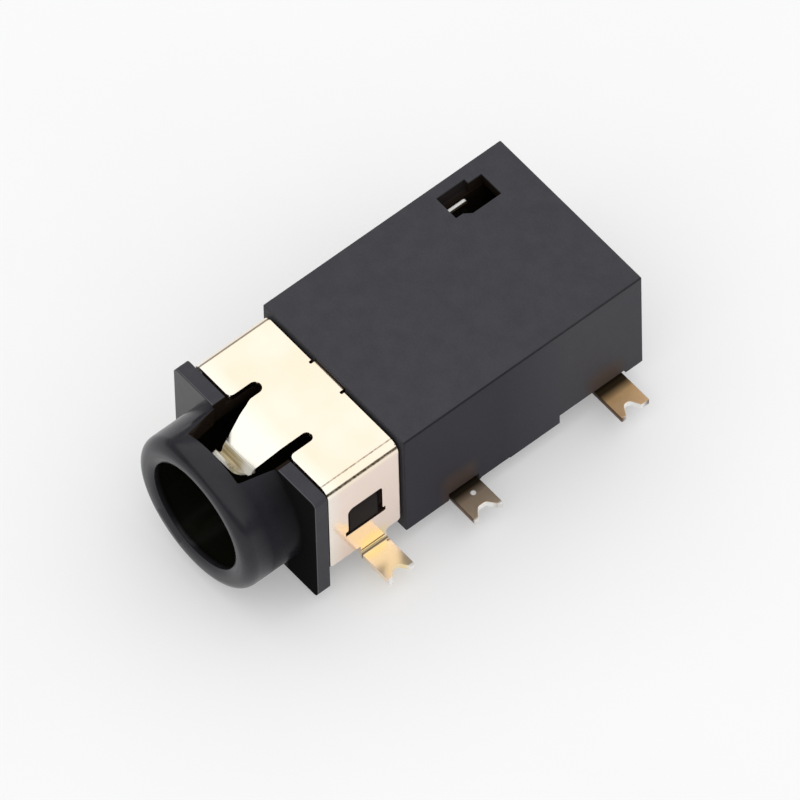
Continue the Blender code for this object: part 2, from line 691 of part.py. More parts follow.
def window_outline(side):
    """Blank outline of the window in a side wall, with relief ears at the sill."""
    top = blank_at_height(WINDOW_TOP)
    sill = blank_at_height(WINDOW_SILL)
    front, rear = HOUSING_FRONT - WINDOW_FRONT, HOUSING_FRONT - WINDOW_REAR
    ear = sill - EAR_HEIGHT
    below = [(ear, front), (ear, front - EAR_DEPTH), (sill, front - EAR_DEPTH),
             (sill, rear + EAR_DEPTH), (ear, rear + EAR_DEPTH), (ear, rear)]
    corners = [(top, front, WINDOW_CORNER)] + [(u, v, EAR_CORNER) for u, v in below]
    corners += [(top, rear, WINDOW_REAR_CORNER)]
    return rounded([(side * u, v, radius) for u, v, radius in corners])


def ground_shell(material):
    outer = front_edge_outline() + shell_side_outline(1) + rear_edge_outline() + shell_side_outline(-1)
    blank = flat_blank([rounded(outer), window_outline(1), window_outline(-1)])
    steps = shell_steps()
    tongue = tongue_steps()
    lines = crease_lines(steps)
    crease(blank, 0, lines + [-value for value in lines])
    crease(blank, 1, [TONGUE_START - value for value in crease_lines(tongue)])
    thicken(blank, SHEET)

    def place(u, v, height):
        if v < TONGUE_START and abs(u) < (TONGUE_ROOT_WIDTH / 2 + SLOT_RIGHT) / 2:
            past = TONGUE_START - v
            point = along((-TONGUE_START, SHELL_UNDERSIDE), 0.0, tongue, past, lip_height(past, height))
            return Vector((u, -point.x, point.y))
        point = along((0, SHELL_UNDERSIDE), 0.0, steps, abs(u), height)
        return Vector((math.copysign(point.x, u), v, point.y))

    return add_object("ground_shell", fold(blank, place), material)


def plate_steps(height):
    """Folds of a contact from the top of its plate to the tip of its foot."""
    foot_radius = FOOT_BEND + SHEET
    return [straight(height - foot_radius), bend(90, foot_radius),
            straight(FOOT_REACH - PLATE_INSIDE - foot_radius)]


def arm_steps(length):
    """Folds of a contact's arm, from its plate to its tail."""
    return [straight(ARM_BEND), bend(-ARM_SLOPE, ARM_BEND), straight(length),
            bend(2 * ARM_SLOPE, BUMP_RADIUS), straight(ARM_TAIL)]


def contact(name, side, start, width, height, way, arm, prongs, material):
    """A stamped contact: a plate with a forked foot below and a sprung arm at one side."""
    steps = plate_steps(height)
    arm_path = arm_steps(arm)
    arm_top = height - AXIS_HEIGHT - ARM_HEIGHT / 2
    arm_bottom = arm_top + ARM_HEIGHT
    arm_end = width + total(arm_path)
    corner = PLATE_CORNER
    corners = [(0, 0, corner)] + fork(total(steps), 0, width, prongs)
    corners += [(arm_bottom, width, corner), (arm_bottom, arm_end, corner), (arm_top, arm_end, corner),
                (arm_top, width, corner), (0, width, corner)]
    blank = flat_blank([rounded(corners)])
    crease(blank, 0, crease_lines(steps))
    crease(blank, 1, [width + value for value in crease_lines(arm_path)])
    thicken(blank, SHEET)

    def place(u, v, lift):
        if v > width:
            point = along((width, PLATE_INSIDE), 0.0, arm_path, v - width, lift)
            x, across, z = point.y, point.x, height - u
        else:
            point = along((PLATE_INSIDE, height), -math.pi / 2, steps, u, lift)
            x, across, z = point.x, v, point.y
        y = start + across if way > 0 else start + width - across
        return Vector((side * x, HOUSING_FRONT + y, z))

    return add_object(name, fold(blank, place), material)


def shade(item):
    item.data.shade_smooth()
    item.data.set_sharp_from_angle(angle=math.radians(SMOOTH_DEGREES))


def build():
    clear_scene()
    body = insulator(plain_material("black_moulding", (0.045, 0.046, 0.05), 0.5, 0.0))
    shell = ground_shell(plain_material("gold_plate", (0.95, 0.85, 0.62), 0.16, 1.0))
    made = [body, shell]
    for row in contact_rows():
        made.append(contact(*row, plain_material(row[0] + "_plate", (0.72, 0.58, 0.38), 0.28, 1.0)))
    for item in made:
        shade(item)
    holder = bpy.data.objects.new("audio_jack_socket", None)
    bpy.context.scene.collection.objects.link(holder)
    for item in made:
        item.parent = holder


build()
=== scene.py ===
"""Finish and fine shapes of a surface-mount socket for a 3.5 mm audio plug."""
import math

import bmesh
import bpy
from mathutils import Matrix, Vector


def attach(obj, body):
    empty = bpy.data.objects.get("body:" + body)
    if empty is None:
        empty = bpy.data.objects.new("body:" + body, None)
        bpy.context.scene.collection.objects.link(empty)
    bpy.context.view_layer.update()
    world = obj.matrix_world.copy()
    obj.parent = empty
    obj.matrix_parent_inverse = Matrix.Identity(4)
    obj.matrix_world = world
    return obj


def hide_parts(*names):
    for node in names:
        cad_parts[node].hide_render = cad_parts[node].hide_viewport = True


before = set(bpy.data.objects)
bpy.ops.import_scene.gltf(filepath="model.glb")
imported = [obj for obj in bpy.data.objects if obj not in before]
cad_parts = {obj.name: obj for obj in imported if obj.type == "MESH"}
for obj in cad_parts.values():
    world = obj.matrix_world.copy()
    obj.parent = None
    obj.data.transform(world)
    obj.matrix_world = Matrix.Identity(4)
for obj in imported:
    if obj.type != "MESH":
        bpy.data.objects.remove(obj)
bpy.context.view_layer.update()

mm = 0.001

# The camera's place, from the photograph's parallel edges and where it shows the housing's front corner
AZIMUTH = 51.6
ELEVATION = 55.8
ROLL = 1.68
PIXELS_PER_MM = 35.9
IMAGE_WIDTH = 800
SENSOR = 36.0
CAMERA_DISTANCE = 620.0 * mm
KNOWN_CORNER = Vector((3.05 * mm, -4.3 * mm, 0.09 * mm))
KNOWN_PIXEL = (406.0, 529.0)
NEAR_CLIP = 10 * mm
FAR_CLIP = 10000 * mm

# Studio: a pale floor under one wide panel of light
FLOOR_HALF_SIZE = 600 * mm
FLOOR_GLOW = 0.265
ROOM_LIGHT = 0.3
CEILING_DIRECTION = (0.05, 0.05, 1.0)
CEILING_DISTANCE = 320 * mm
CEILING_SIZE = 1400 * mm
CEILING_POWER = 5.15

# Rear housing of the insulator
HOUSING_WIDTH = 6.14 * mm
HOUSING_LENGTH = 8.62 * mm
HOUSING_HEIGHT = 4.34 * mm
HOUSING_EDGE = 0.04 * mm
REAR_WALL = 0.6 * mm
SEAT_FROM_FRONT = 4.3 * mm
STAND_OFF = 0.04 * mm
RIB_START = 3.78 * mm
RIB_LENGTH = 1.8 * mm
RIB_EDGE = 0.03 * mm

# Core under the shell, and the flange in front of it, which hangs over the board's edge
CORE_LENGTH = 2.75 * mm
CORE_FLOOR = 0.17 * mm
CORE_CORNER = 0.2 * mm
FLANGE_WIDTH = 6.12 * mm
FLANGE_THICKNESS = 0.47 * mm
FLANGE_CORNER = 0.16 * mm
FLANGE_SETBACK = 0.04 * mm
FLANGE_DROP = 0.2 * mm

# Plug bore and the round nose about it
BORE_COVER = 0.27 * mm
AXIS_DROP = 0.02 * mm
LIP_STEP = 0.11 * mm
LIP_DEPTH = 0.28 * mm
MOUTH_WIDENING = 0.23 * mm
MOUTH_DEPTH = 0.1 * mm
TIP_HOLE_RADIUS = 1.3 * mm
NOSE_WALL = 0.73 * mm
NOSE_LENGTH = 1.93 * mm
NOSE_FILLET = 0.4 * mm
NOSE_SINK = 0.03 * mm

# Notch over the tongue, from the nose through the flange into the core
NOTCH_SETBACK = 0.78 * mm
NOTCH_FRONT_CENTRE = 0.07 * mm
NOTCH_FRONT_WIDTH = 2.14 * mm
NOTCH_REAR_CENTRE = 0.04 * mm
NOTCH_REAR_WIDTH = 2.62 * mm
NOTCH_CORNER = 0.08 * mm
FLANGE_SLOT_WIDTH = 2.74 * mm
WELL_LENGTH = 1.2 * mm

# Shell, a folded sheet
SHEET = 0.2 * mm
SHELL_WIDTH = 5.84 * mm
SHELL_RECESS = 0.17 * mm
SHELL_BEND = 0.15 * mm
SHELL_SKIRT_HEIGHT = 0.54 * mm
SHELL_FRONT_GAP = 0.14 * mm
SHELL_REAR_GAP = 0.09 * mm
SHELL_CORNER = 0.12 * mm
CORE_CLEARANCE = 0.03 * mm

# Tongue cut free in the shell's top, between two slots
SLOT_END = 1.67 * mm
SLOT_LEFT = 1.36 * mm
SLOT_RIGHT = 1.23 * mm
SLOT_FLARE = 0.17 * mm
TONGUE_BEND_START = 2.12 * mm
TONGUE_BEND_RADIUS = 0.9 * mm
TONGUE_ROOT_WIDTH = 1.84 * mm
TONGUE_ROOT_CENTRE = -0.03 * mm
TONGUE_SHOULDER_WIDTH = 1.74 * mm
TONGUE_SHOULDER_PLACE = 0.26 * mm
TONGUE_SHOULDER_LENGTH = 0.18 * mm
TONGUE_TIP_WIDTH = 1.24 * mm
TONGUE_SLOPE = 33.0
TONGUE_RAMP = 0.8 * mm
TONGUE_CREASE = 0.03 * mm
TONGUE_STEEP = 76.0
TONGUE_DROP = 0.15 * mm
TONGUE_VALLEY = 0.05 * mm
TONGUE_LIP_RISE = 62.0
TONGUE_LIP_LENGTH = 0.36 * mm
TONGUE_LIP_THICKNESS = 0.13 * mm
TONGUE_LIP_CORNER = 0.1 * mm
TONGUE_CUT_WIDTH = 0.85 * mm
TONGUE_CUT_LENGTH = 1.1 * mm
TONGUE_CUT_ROUND = 0.5 * mm

# Tab at the shell's rear edge, tucked into the housing
REAR_TAB_CENTRE = -0.14 * mm
REAR_TAB_WIDTH = 1.24 * mm
REAR_TAB_LENGTH = 0.32 * mm
REAR_TAB_RELIEF = 0.1 * mm
REAR_TAB_CORNER = 0.04 * mm
REAR_TAB_CLEARANCE = 0.04 * mm

# Window in each side wall of the shell, with the snap boss behind it
WINDOW_FRONT = 1.93 * mm
WINDOW_REAR = 0.7 * mm
WINDOW_TOP = 2.7 * mm
WINDOW_SILL = 1.5 * mm
WINDOW_CORNER = 0.2 * mm
WINDOW_REAR_CORNER = 0.1 * mm
EAR_DEPTH = 0.1 * mm
EAR_HEIGHT = 0.2 * mm
EAR_CORNER = 0.04 * mm
BOSS_CLEARANCE = 0.08 * mm
BOSS_SETBACK = 0.03 * mm

# Forked solder feet
FOOT_REACH = 4.17 * mm
FORK_DEPTH = 0.32 * mm
FORK_CORNER = 0.04 * mm
FORK_ROUND = 0.12 * mm
PRONGS = (0.12 * mm, 0.12 * mm)
SWITCH_PRONGS = (0.29 * mm, 0.17 * mm)
FOOT_BEND = 0.12 * mm
SHELL_FOOT_FRONT = 1.52 * mm
SHELL_FOOT_WIDTH = 0.92 * mm

# Contacts in the housing: plates in pockets, each with a sprung arm
PLATE_INSET = 0.6 * mm
PLATE_COVER = 1.04 * mm
TIP_PLATE_COVER = 0.44 * mm
ARM_HEIGHT = 0.7 * mm
PLATE_CORNER = 0.1 * mm
POCKET_CLEARANCE = 0.04 * mm
POCKET_BREAK = 0.21 * mm
FOOT_NOTCH_HEIGHT = 0.35 * mm
RING_ONE_START = 1.59 * mm
RING_ONE_WIDTH = 1.01 * mm
RING_TWO_START = 2.5 * mm
RING_TWO_WIDTH = 0.9 * mm
SWITCH_FROM_REAR = 1.7 * mm
SWITCH_WIDTH = 1.01 * mm
TIP_FROM_REAR = 2.72 * mm
TIP_WIDTH = 0.9 * mm
LONG_ARM_SHARE = 0.14
SHORT_ARM_SHARE = 0.084
ARM_SLOPE = 24.0
ARM_BEND = 0.15 * mm
BUMP_RADIUS = 0.3 * mm
ARM_TAIL = 0.12 * mm

# Relief under the side walls, behind the rib and beside the feet
EDGE_RELIEF_WIDTH = 0.75 * mm
FRONT_RELIEF_GAP = 0.12 * mm
SWITCH_RELIEF_GAP = 0.06 * mm
FRONT_RELIEF_HEIGHT = 0.08 * mm
SWITCH_RELIEF_HEIGHT = 0.4 * mm
REAR_RELIEF_HEIGHT = 0.25 * mm

# Stepped window in the housing's top, over the tip contact
TOP_WINDOW_LEFT = 0.365 * mm
TOP_WINDOW_FROM_REAR = 2.65 * mm
TOP_WINDOW_SIDE = 0.88 * mm
TOP_WINDOW_STEP_X = 0.17 * mm
TOP_WINDOW_STEP_Y = 0.48 * mm
TOP_WINDOW_LENGTH = 1.03 * mm
TOP_WINDOW_CORNER = 0.02 * mm

# Locating pegs
PEG_RADIUS = 0.5 * mm
PEG_LENGTH = 0.6 * mm
PEG_CHAMFER = 0.15 * mm
FRONT_PEG = 0.95 * mm
REAR_PEG_FROM_REAR = 1.9 * mm

# Fineness, and edge rounding of the finished pieces
ROUND_STEPS = 160
BEND_DEGREES = 6.0
CORNER_DEGREES = 12.0
CORNER_STEPS = 4
CORNER_SHARE = 0.49
NOSE_FILLET_STEPS = 12
MOULD_EDGE = 0.03 * mm
MOULD_EDGE_STEPS = 2
STAMPED_EDGE = 0.025 * mm
STAMPED_EDGE_STEPS = 3
FLAT_DEGREES = 0.1
MERGE_DEGREES = 0.5
SHARP_DEGREES = 32
SMOOTH_DEGREES = 30
FLAT_WEIGHT = 80
LEVEL_NORMAL = 0.999
CUT_MARGIN = 0.5 * mm
HAIR = 0.0001 * mm

# Places that follow from the sizes
HOUSING_FRONT = -SEAT_FROM_FRONT
HOUSING_REAR = HOUSING_FRONT + HOUSING_LENGTH
HOUSING_SIDE = HOUSING_WIDTH / 2
FLANGE_REAR = HOUSING_FRONT - CORE_LENGTH
FLANGE_FRONT = FLANGE_REAR - FLANGE_THICKNESS
FLANGE_TOP = HOUSING_HEIGHT - FLANGE_SETBACK
NOSE_FACE = FLANGE_FRONT - NOSE_LENGTH
AXIS_HEIGHT = HOUSING_HEIGHT / 2 - AXIS_DROP
BORE_RADIUS = AXIS_HEIGHT - BORE_COVER
LIP_RADIUS = BORE_RADIUS - LIP_STEP
NOSE_RADIUS = LIP_RADIUS + NOSE_WALL
SHELL_TOP = HOUSING_HEIGHT - SHELL_RECESS
SHELL_FRONT = FLANGE_REAR + SHELL_FRONT_GAP
SHELL_REAR = HOUSING_FRONT - SHELL_REAR_GAP
SHELL_UNDERSIDE = SHELL_TOP - SHEET
SHELL_WALL = SHELL_WIDTH / 2
SHELL_INSIDE = SHELL_WALL - SHEET
CORE_HALF_WIDTH = SHELL_INSIDE - CORE_CLEARANCE
CORE_TOP = SHELL_UNDERSIDE - CORE_CLEARANCE
TONGUE_START = HOUSING_FRONT - TONGUE_BEND_START
PLATE_OUTSIDE = HOUSING_SIDE - PLATE_INSET
PLATE_INSIDE = PLATE_OUTSIDE - SHEET
PLATE_HEIGHT = HOUSING_HEIGHT - PLATE_COVER
TIP_PLATE_HEIGHT = HOUSING_HEIGHT - TIP_PLATE_COVER
SWITCH_START = HOUSING_LENGTH - SWITCH_FROM_REAR
TIP_START = HOUSING_LENGTH - TIP_FROM_REAR
LONG_ARM = HOUSING_LENGTH * LONG_ARM_SHARE
SHORT_ARM = HOUSING_LENGTH * SHORT_ARM_SHARE
TOP_WINDOW_START = HOUSING_LENGTH - TOP_WINDOW_FROM_REAR
REAR_PEG = HOUSING_LENGTH - REAR_PEG_FROM_REAR

# Name, side, start, width, plate height, arm direction, arm length and prongs
CONTACTS = [
    ("ring_one_contact", 1, RING_ONE_START, RING_ONE_WIDTH, PLATE_HEIGHT, 1, LONG_ARM, PRONGS),
    ("ring_two_contact", -1, RING_TWO_START, RING_TWO_WIDTH, PLATE_HEIGHT, -1, LONG_ARM, PRONGS),
    ("switch_contact", 1, SWITCH_START, SWITCH_WIDTH, PLATE_HEIGHT, -1, LONG_ARM, SWITCH_PRONGS),
    ("tip_contact", -1, TIP_START, TIP_WIDTH, TIP_PLATE_HEIGHT, 1, SHORT_ARM, PRONGS),
]
RIGHT_FEET = [(row[2], row[3]) for row in CONTACTS if row[1] > 0]


# Shapes shared by the pieces

def mesh_object(name, shape, material=None):
    bmesh.ops.recalc_face_normals(shape, faces=shape.faces)
    mesh = bpy.data.meshes.new(name)
    shape.to_mesh(mesh)
    shape.free()
    item = bpy.data.objects.new(name, mesh)
    bpy.context.scene.collection.objects.link(item)
    if material:
        mesh.materials.append(material)
    return item


def box(low, high, edge=0.0, axes=""):
    """A block between two corners; edges along the named axes are rounded, apart from those below."""
    shape = bmesh.new()
    bmesh.ops.create_cube(shape, size=1.0)
    low, high = Vector(low), Vector(high)
    bmesh.ops.scale(shape, vec=high - low, verts=shape.verts)
    bmesh.ops.translate(shape, vec=(low + high) / 2, verts=shape.verts)
    middle = (low.z + high.z) / 2
    chosen = []
    for line in shape.edges:
        along_line = line.verts[1].co - line.verts[0].co
        axis = max(range(3), key=lambda index: abs(along_line[index]))
        on_floor = max(vert.co.z for vert in line.verts) < middle
        if "XYZ"[axis] in axes and not on_floor:
            chosen.append(line)
    if edge and chosen:
        bmesh.ops.bevel(shape, geom=chosen, offset=edge, offset_type="OFFSET", segments=CORNER_STEPS,
                        profile=0.5, affect="EDGES", material=-1, clamp_overlap=True)
    return shape


def rounded(corners):
    """An outline through corners given as (u, v, radius), with an arc at each radius."""
    outline = []
    count = len(corners)
    for index, (u, v, radius) in enumerate(corners):
        here = Vector((u, v))
        if not radius:
            outline.append(here)
            continue
        before = Vector(corners[index - 1][:2]) - here
        after = Vector(corners[(index + 1) % count][:2]) - here
        half = before.angle(after) / 2
        reach = min(radius / math.tan(half), CORNER_SHARE * before.length,
                    CORNER_SHARE * after.length)
        radius = reach * math.tan(half)
        centre = here + (before.normalized() + after.normalized()).normalized() * radius / math.sin(half)
        first = here + before.normalized() * reach - centre
        last = here + after.normalized() * reach - centre
        swing = math.pi - 2 * half
        turn = 1.0 if first.x * last.y - first.y * last.x > 0 else -1.0
        steps = max(3, round(math.degrees(swing) / CORNER_DEGREES))
        for step in range(steps + 1):
            angle = turn * swing * step / steps
            cosine, sine = math.cos(angle), math.sin(angle)
            outline.append(centre + Vector((first.x * cosine - first.y * sine,
                                            first.x * sine + first.y * cosine)))
    return outline


def flat_blank(loops):
    """A flat sheet bounded by an outer outline and any holes."""
    blank = bmesh.new()
    rims = []
    for loop in loops:
        verts = [blank.verts.new((point[0], point[1], 0.0)) for point in loop]
        for index, vert in enumerate(verts):
            rims.append(blank.edges.new((vert, verts[(index + 1) % len(verts)])))
    bmesh.ops.triangle_fill(blank, edges=rims, use_beauty=True, use_dissolve=False)
    return blank


def thicken(blank, height):
    """Raises a flat sheet into a slab."""
    raised = bmesh.ops.extrude_face_region(blank, geom=blank.faces[:])["geom"]
    tops = [item for item in raised if isinstance(item, bmesh.types.BMVert)]
    bmesh.ops.translate(blank, vec=(0, 0, height), verts=tops)
    bmesh.ops.recalc_face_normals(blank, faces=blank.faces)
    return blank


def prism(outline, bottom, top):
    """A plan outline raised between two heights."""
    shape = thicken(flat_blank([outline]), top - bottom)
    bmesh.ops.dissolve_limit(shape, angle_limit=math.radians(FLAT_DEGREES), verts=shape.verts,
                             edges=shape.edges)
    bmesh.ops.translate(shape, vec=(0, 0, bottom), verts=shape.verts)
    return shape


def stand_up(shape, rear):
    """Turns a prism so that its outline faces the front and its back lies at a place on Y."""
    bmesh.ops.rotate(shape, cent=(0, 0, 0), matrix=Matrix.Rotation(math.pi / 2, 3, "X"), verts=shape.verts)
    bmesh.ops.translate(shape, vec=(0, rear, 0), verts=shape.verts)
    return shape


def turned(profile):
    """A solid turned about the plug's axis from points (radius, y)."""
    shape = bmesh.new()
    verts = [shape.verts.new((radius, y, 0.0)) for radius, y in profile]
    lines = [shape.edges.new(pair) for pair in zip(verts, verts[1:])]
    bmesh.ops.spin(shape, geom=verts + lines, cent=(0, 0, 0), axis=(0, 1, 0), angle=2 * math.pi,
                   steps=ROUND_STEPS, use_merge=True, use_duplicate=False)
    bmesh.ops.remove_doubles(shape, verts=shape.verts, dist=HAIR)
    bmesh.ops.translate(shape, vec=(0, 0, AXIS_HEIGHT), verts=shape.verts)
    return shape


def arc_points(centre_u, centre_v, radius, start, end, steps):
    points = []
    for step in range(steps + 1):
        angle = math.radians(start + (end - start) * step / steps)
        points.append((centre_u + radius * math.cos(angle), centre_v + radius * math.sin(angle)))
    return points


# Insulator, one moulding

def nose_block():
    """The round nose; its rear end narrows so that it stays inside the flange."""
    tip = arc_points(NOSE_RADIUS - NOSE_FILLET, NOSE_FACE + NOSE_FILLET, NOSE_FILLET, -90, 0,
                     NOSE_FILLET_STEPS)
    inside = FLANGE_FRONT + FLANGE_THICKNESS / 2
    narrow = FLANGE_TOP - AXIS_HEIGHT - FLANGE_THICKNESS / 4
    return turned([(0, NOSE_FACE)] + tip + [(NOSE_RADIUS, FLANGE_FRONT + NOSE_SINK), (narrow, inside),
                                            (0, inside)])


def flange_block():
    half = FLANGE_WIDTH / 2
    outline = rounded([(-half, -FLANGE_DROP, FLANGE_CORNER), (half, -FLANGE_DROP, FLANGE_CORNER),
                       (half, FLANGE_TOP, FLANGE_CORNER), (-half, FLANGE_TOP, FLANGE_CORNER)])
    return stand_up(prism(outline, 0, FLANGE_THICKNESS), FLANGE_REAR)


def snap_boss(side):
    """Wedge on the core's side that the shell's window snaps over."""
    front = HOUSING_FRONT - WINDOW_FRONT + BOSS_CLEARANCE
    rear = HOUSING_FRONT - WINDOW_REAR - 2 * BOSS_CLEARANCE
    face = SHELL_WALL - BOSS_SETBACK
    root = CORE_HALF_WIDTH - BOSS_CLEARANCE
    sill = WINDOW_SILL + BOSS_CLEARANCE
    lead = WINDOW_TOP - BOSS_CLEARANCE
    outline = [(root, sill), (face, sill), (face, lead - SHEET), (face - SHEET / 2, lead), (root, lead)]
    shape = stand_up(prism(outline, 0, rear - front), rear)
    bmesh.ops.scale(shape, vec=(side, 1, 1), verts=shape.verts)
    return shape


def locating_peg(from_front):
    shape = bmesh.new()
    top = STAND_OFF + PEG_CHAMFER
    height = PEG_LENGTH + top
    bmesh.ops.create_cone(shape, cap_ends=True, segments=ROUND_STEPS // 2, radius1=PEG_RADIUS,
                          radius2=PEG_RADIUS, depth=height)
    bmesh.ops.translate(shape, vec=(0, HOUSING_FRONT + from_front, top - height / 2), verts=shape.verts)
    lowest = min(vert.co.z for vert in shape.verts)
    rim = [line for line in shape.edges if all(vert.co.z < lowest + HAIR for vert in line.verts)]
    bmesh.ops.bevel(shape, geom=rim, offset=PEG_CHAMFER, offset_type="OFFSET", segments=1, profile=0.5,
                    affect="EDGES", material=-1)
    return shape


def bore_cut():
    """The flared mouth, the lip, the bore and the hole for the plug's tip."""
    mouth = LIP_RADIUS + MOUTH_WIDENING * (MOUTH_DEPTH + CUT_MARGIN) / MOUTH_DEPTH
    lip_end = NOSE_FACE + LIP_DEPTH
    bore_end = HOUSING_REAR - REAR_WALL
    outside = NOSE_FACE - CUT_MARGIN
    beyond = HOUSING_REAR + CUT_MARGIN
    return turned([(0, outside), (mouth, outside), (LIP_RADIUS, NOSE_FACE + MOUTH_DEPTH),
                   (LIP_RADIUS, lip_end), (BORE_RADIUS, lip_end), (BORE_RADIUS, bore_end),
                   (TIP_HOLE_RADIUS, bore_end), (TIP_HOLE_RADIUS, beyond), (0, beyond)])


def tongue_cut():
    """The notch in the nose's top, the slot in the flange and the well in the core."""
    front_left = NOTCH_FRONT_CENTRE - NOTCH_FRONT_WIDTH / 2
    rear_left = NOTCH_REAR_CENTRE - NOTCH_REAR_WIDTH / 2
    half_slot = FLANGE_SLOT_WIDTH / 2
    front = NOSE_FACE + NOTCH_SETBACK
    end = FLANGE_REAR + WELL_LENGTH
    front_right = front_left + NOTCH_FRONT_WIDTH
    outline = rounded([(front_left, front, NOTCH_CORNER), (front_right, front, NOTCH_CORNER),
                       (rear_left + NOTCH_REAR_WIDTH, FLANGE_FRONT, 0), (half_slot, FLANGE_FRONT, 0),
                       (half_slot, end, NOTCH_CORNER), (-half_slot, end, NOTCH_CORNER),
                       (-half_slot, FLANGE_FRONT, 0), (rear_left, FLANGE_FRONT, 0)])
    return prism(outline, AXIS_HEIGHT, HOUSING_HEIGHT + NOSE_RADIUS)


def rear_tab_cut():
    half = REAR_TAB_WIDTH / 2 + REAR_TAB_CLEARANCE
    return box((REAR_TAB_CENTRE - half, HOUSING_FRONT - CUT_MARGIN, SHELL_UNDERSIDE - REAR_TAB_CLEARANCE),
               (REAR_TAB_CENTRE + half, SHELL_REAR + REAR_TAB_LENGTH + REAR_TAB_CLEARANCE,
                SHELL_TOP + REAR_TAB_CLEARANCE))


def top_window_cut():
    left = TOP_WINDOW_LEFT - HOUSING_SIDE
    front = HOUSING_FRONT + TOP_WINDOW_START
    right = left + TOP_WINDOW_SIDE
    back = front + TOP_WINDOW_LENGTH
    step_x, step_y = TOP_WINDOW_STEP_X, TOP_WINDOW_STEP_Y
    corners = [(left, front), (right, front), (right, front + step_y / 2),
               (right + step_x, front + step_y), (right + step_x, back + step_y),
               (left + step_x, back + step_y), (left + step_x, back), (left, back)]
    outline = rounded([(u, v, TOP_WINDOW_CORNER) for u, v in corners])
    return prism(outline, TIP_PLATE_HEIGHT - POCKET_CLEARANCE, HOUSING_HEIGHT + CUT_MARGIN)


def pocket_cut(side, low, high, height):
    """Pocket for a contact, open at the underside and into the bore."""
    outer = side * (PLATE_OUTSIDE + POCKET_CLEARANCE)
    inner = side * (BORE_RADIUS - POCKET_BREAK)
    return box((min(outer, inner), HOUSING_FRONT + low, -CUT_MARGIN),
               (max(outer, inner), HOUSING_FRONT + high, height + POCKET_CLEARANCE))


def edge_cut(side, low, high, height):
    """Relief under a side wall, between two distances from the housing's front."""
    inner = HOUSING_SIDE - EDGE_RELIEF_WIDTH
    outer = HOUSING_SIDE + CUT_MARGIN
    return box((min(side * inner, side * outer), HOUSING_FRONT + low, -CUT_MARGIN),
               (max(side * inner, side * outer), HOUSING_FRONT + high, height))


def insulator_parts():
    """The solids that make up the moulding."""
    rib_half = HOUSING_SIDE - RIB_EDGE
    rib_top = STAND_OFF + HOUSING_EDGE + RIB_EDGE
    rib = HOUSING_FRONT + RIB_START
    core_front = FLANGE_FRONT + FLANGE_THICKNESS / 2
    core_rear = HOUSING_FRONT + REAR_WALL / 2
    parts = [
        box((-HOUSING_SIDE, HOUSING_FRONT, STAND_OFF), (HOUSING_SIDE, HOUSING_REAR, HOUSING_HEIGHT),
            HOUSING_EDGE, "XYZ"),
        box((-rib_half, rib, 0), (rib_half, rib + RIB_LENGTH, rib_top)),
        box((-CORE_HALF_WIDTH, core_front, CORE_FLOOR), (CORE_HALF_WIDTH, core_rear, CORE_TOP),
            CORE_CORNER, "Y"),
        flange_block(), nose_block(), snap_boss(1), snap_boss(-1)]
    return parts + [locating_peg(place) for place in (FRONT_PEG, REAR_PEG)]


def insulator_cuts():
    """The solids that are taken away from the moulding."""
    cuts = [bore_cut(), tongue_cut(), rear_tab_cut(), top_window_cut()]
    for _, side, start, width, height, way, arm, _ in CONTACTS:
        steps = arm_steps(arm)
        reach = along((0, 0), 0.0, steps, total(steps), 0.0).x + POCKET_CLEARANCE
        low = start - (reach if way < 0 else POCKET_CLEARANCE)
        high = start + width + (reach if way > 0 else POCKET_CLEARANCE)
        cuts.append(pocket_cut(side, low, high, height))
        cuts.append(edge_cut(side, start - POCKET_CLEARANCE, start + width + POCKET_CLEARANCE,
                             FOOT_NOTCH_HEIGHT))
    rib_end = RIB_START + RIB_LENGTH
    front_start = RING_ONE_START + RING_ONE_WIDTH + FRONT_RELIEF_GAP
    switch_end = SWITCH_START + SWITCH_WIDTH + SWITCH_RELIEF_GAP
    rear_end = HOUSING_LENGTH + CUT_MARGIN
    for side in (1, -1):
        cuts.append(edge_cut(side, front_start, RIB_START, FRONT_RELIEF_HEIGHT))
        cuts.append(edge_cut(side, rib_end, switch_end, SWITCH_RELIEF_HEIGHT))
        cuts.append(edge_cut(side, SWITCH_START, rear_end, REAR_RELIEF_HEIGHT))
    return cuts


def combine(body, shapes, operation):
    """Adds or takes away each shape in turn, and leaves one mesh."""
    tools = []
    for index, shape in enumerate(shapes):
        tool = mesh_object(f"{operation.lower()}_{index}", shape)
        tools.append(tool)
        modifier = body.modifiers.new(tool.name, "BOOLEAN")
        modifier.operation = operation
        modifier.solver = "EXACT"
        modifier.object = tool
    apply_modifiers(body)
    for tool in tools:
        bpy.data.meshes.remove(tool.data)


def apply_modifiers(item):
    graph = bpy.context.evaluated_depsgraph_get()
    finished = bpy.data.meshes.new_from_object(item.evaluated_get(graph))
    item.modifiers.clear()
    old = item.data
    name = old.name
    item.data = finished
    bpy.data.meshes.remove(old)
    finished.name = name


def soften(item, width):
    """Merges and rounds a piece's sharp edges by a small radius."""
    shape = bmesh.new()
    shape.from_mesh(item.data)
    bmesh.ops.remove_doubles(shape, verts=shape.verts, dist=10 * HAIR)
    bmesh.ops.dissolve_limit(shape, angle_limit=math.radians(MERGE_DEGREES), verts=shape.verts,
                             edges=shape.edges)
    shape.to_mesh(item.data)
    shape.free()
    modifier = item.modifiers.new("edges", "BEVEL")
    modifier.width = width
    modifier.segments = MOULD_EDGE_STEPS
    modifier.limit_method = "ANGLE"
    modifier.angle_limit = math.radians(SHARP_DEGREES)
    modifier.profile = 0.5
    modifier.use_clamp_overlap = True
    modifier.miter_outer = "MITER_ARC"
    apply_modifiers(item)


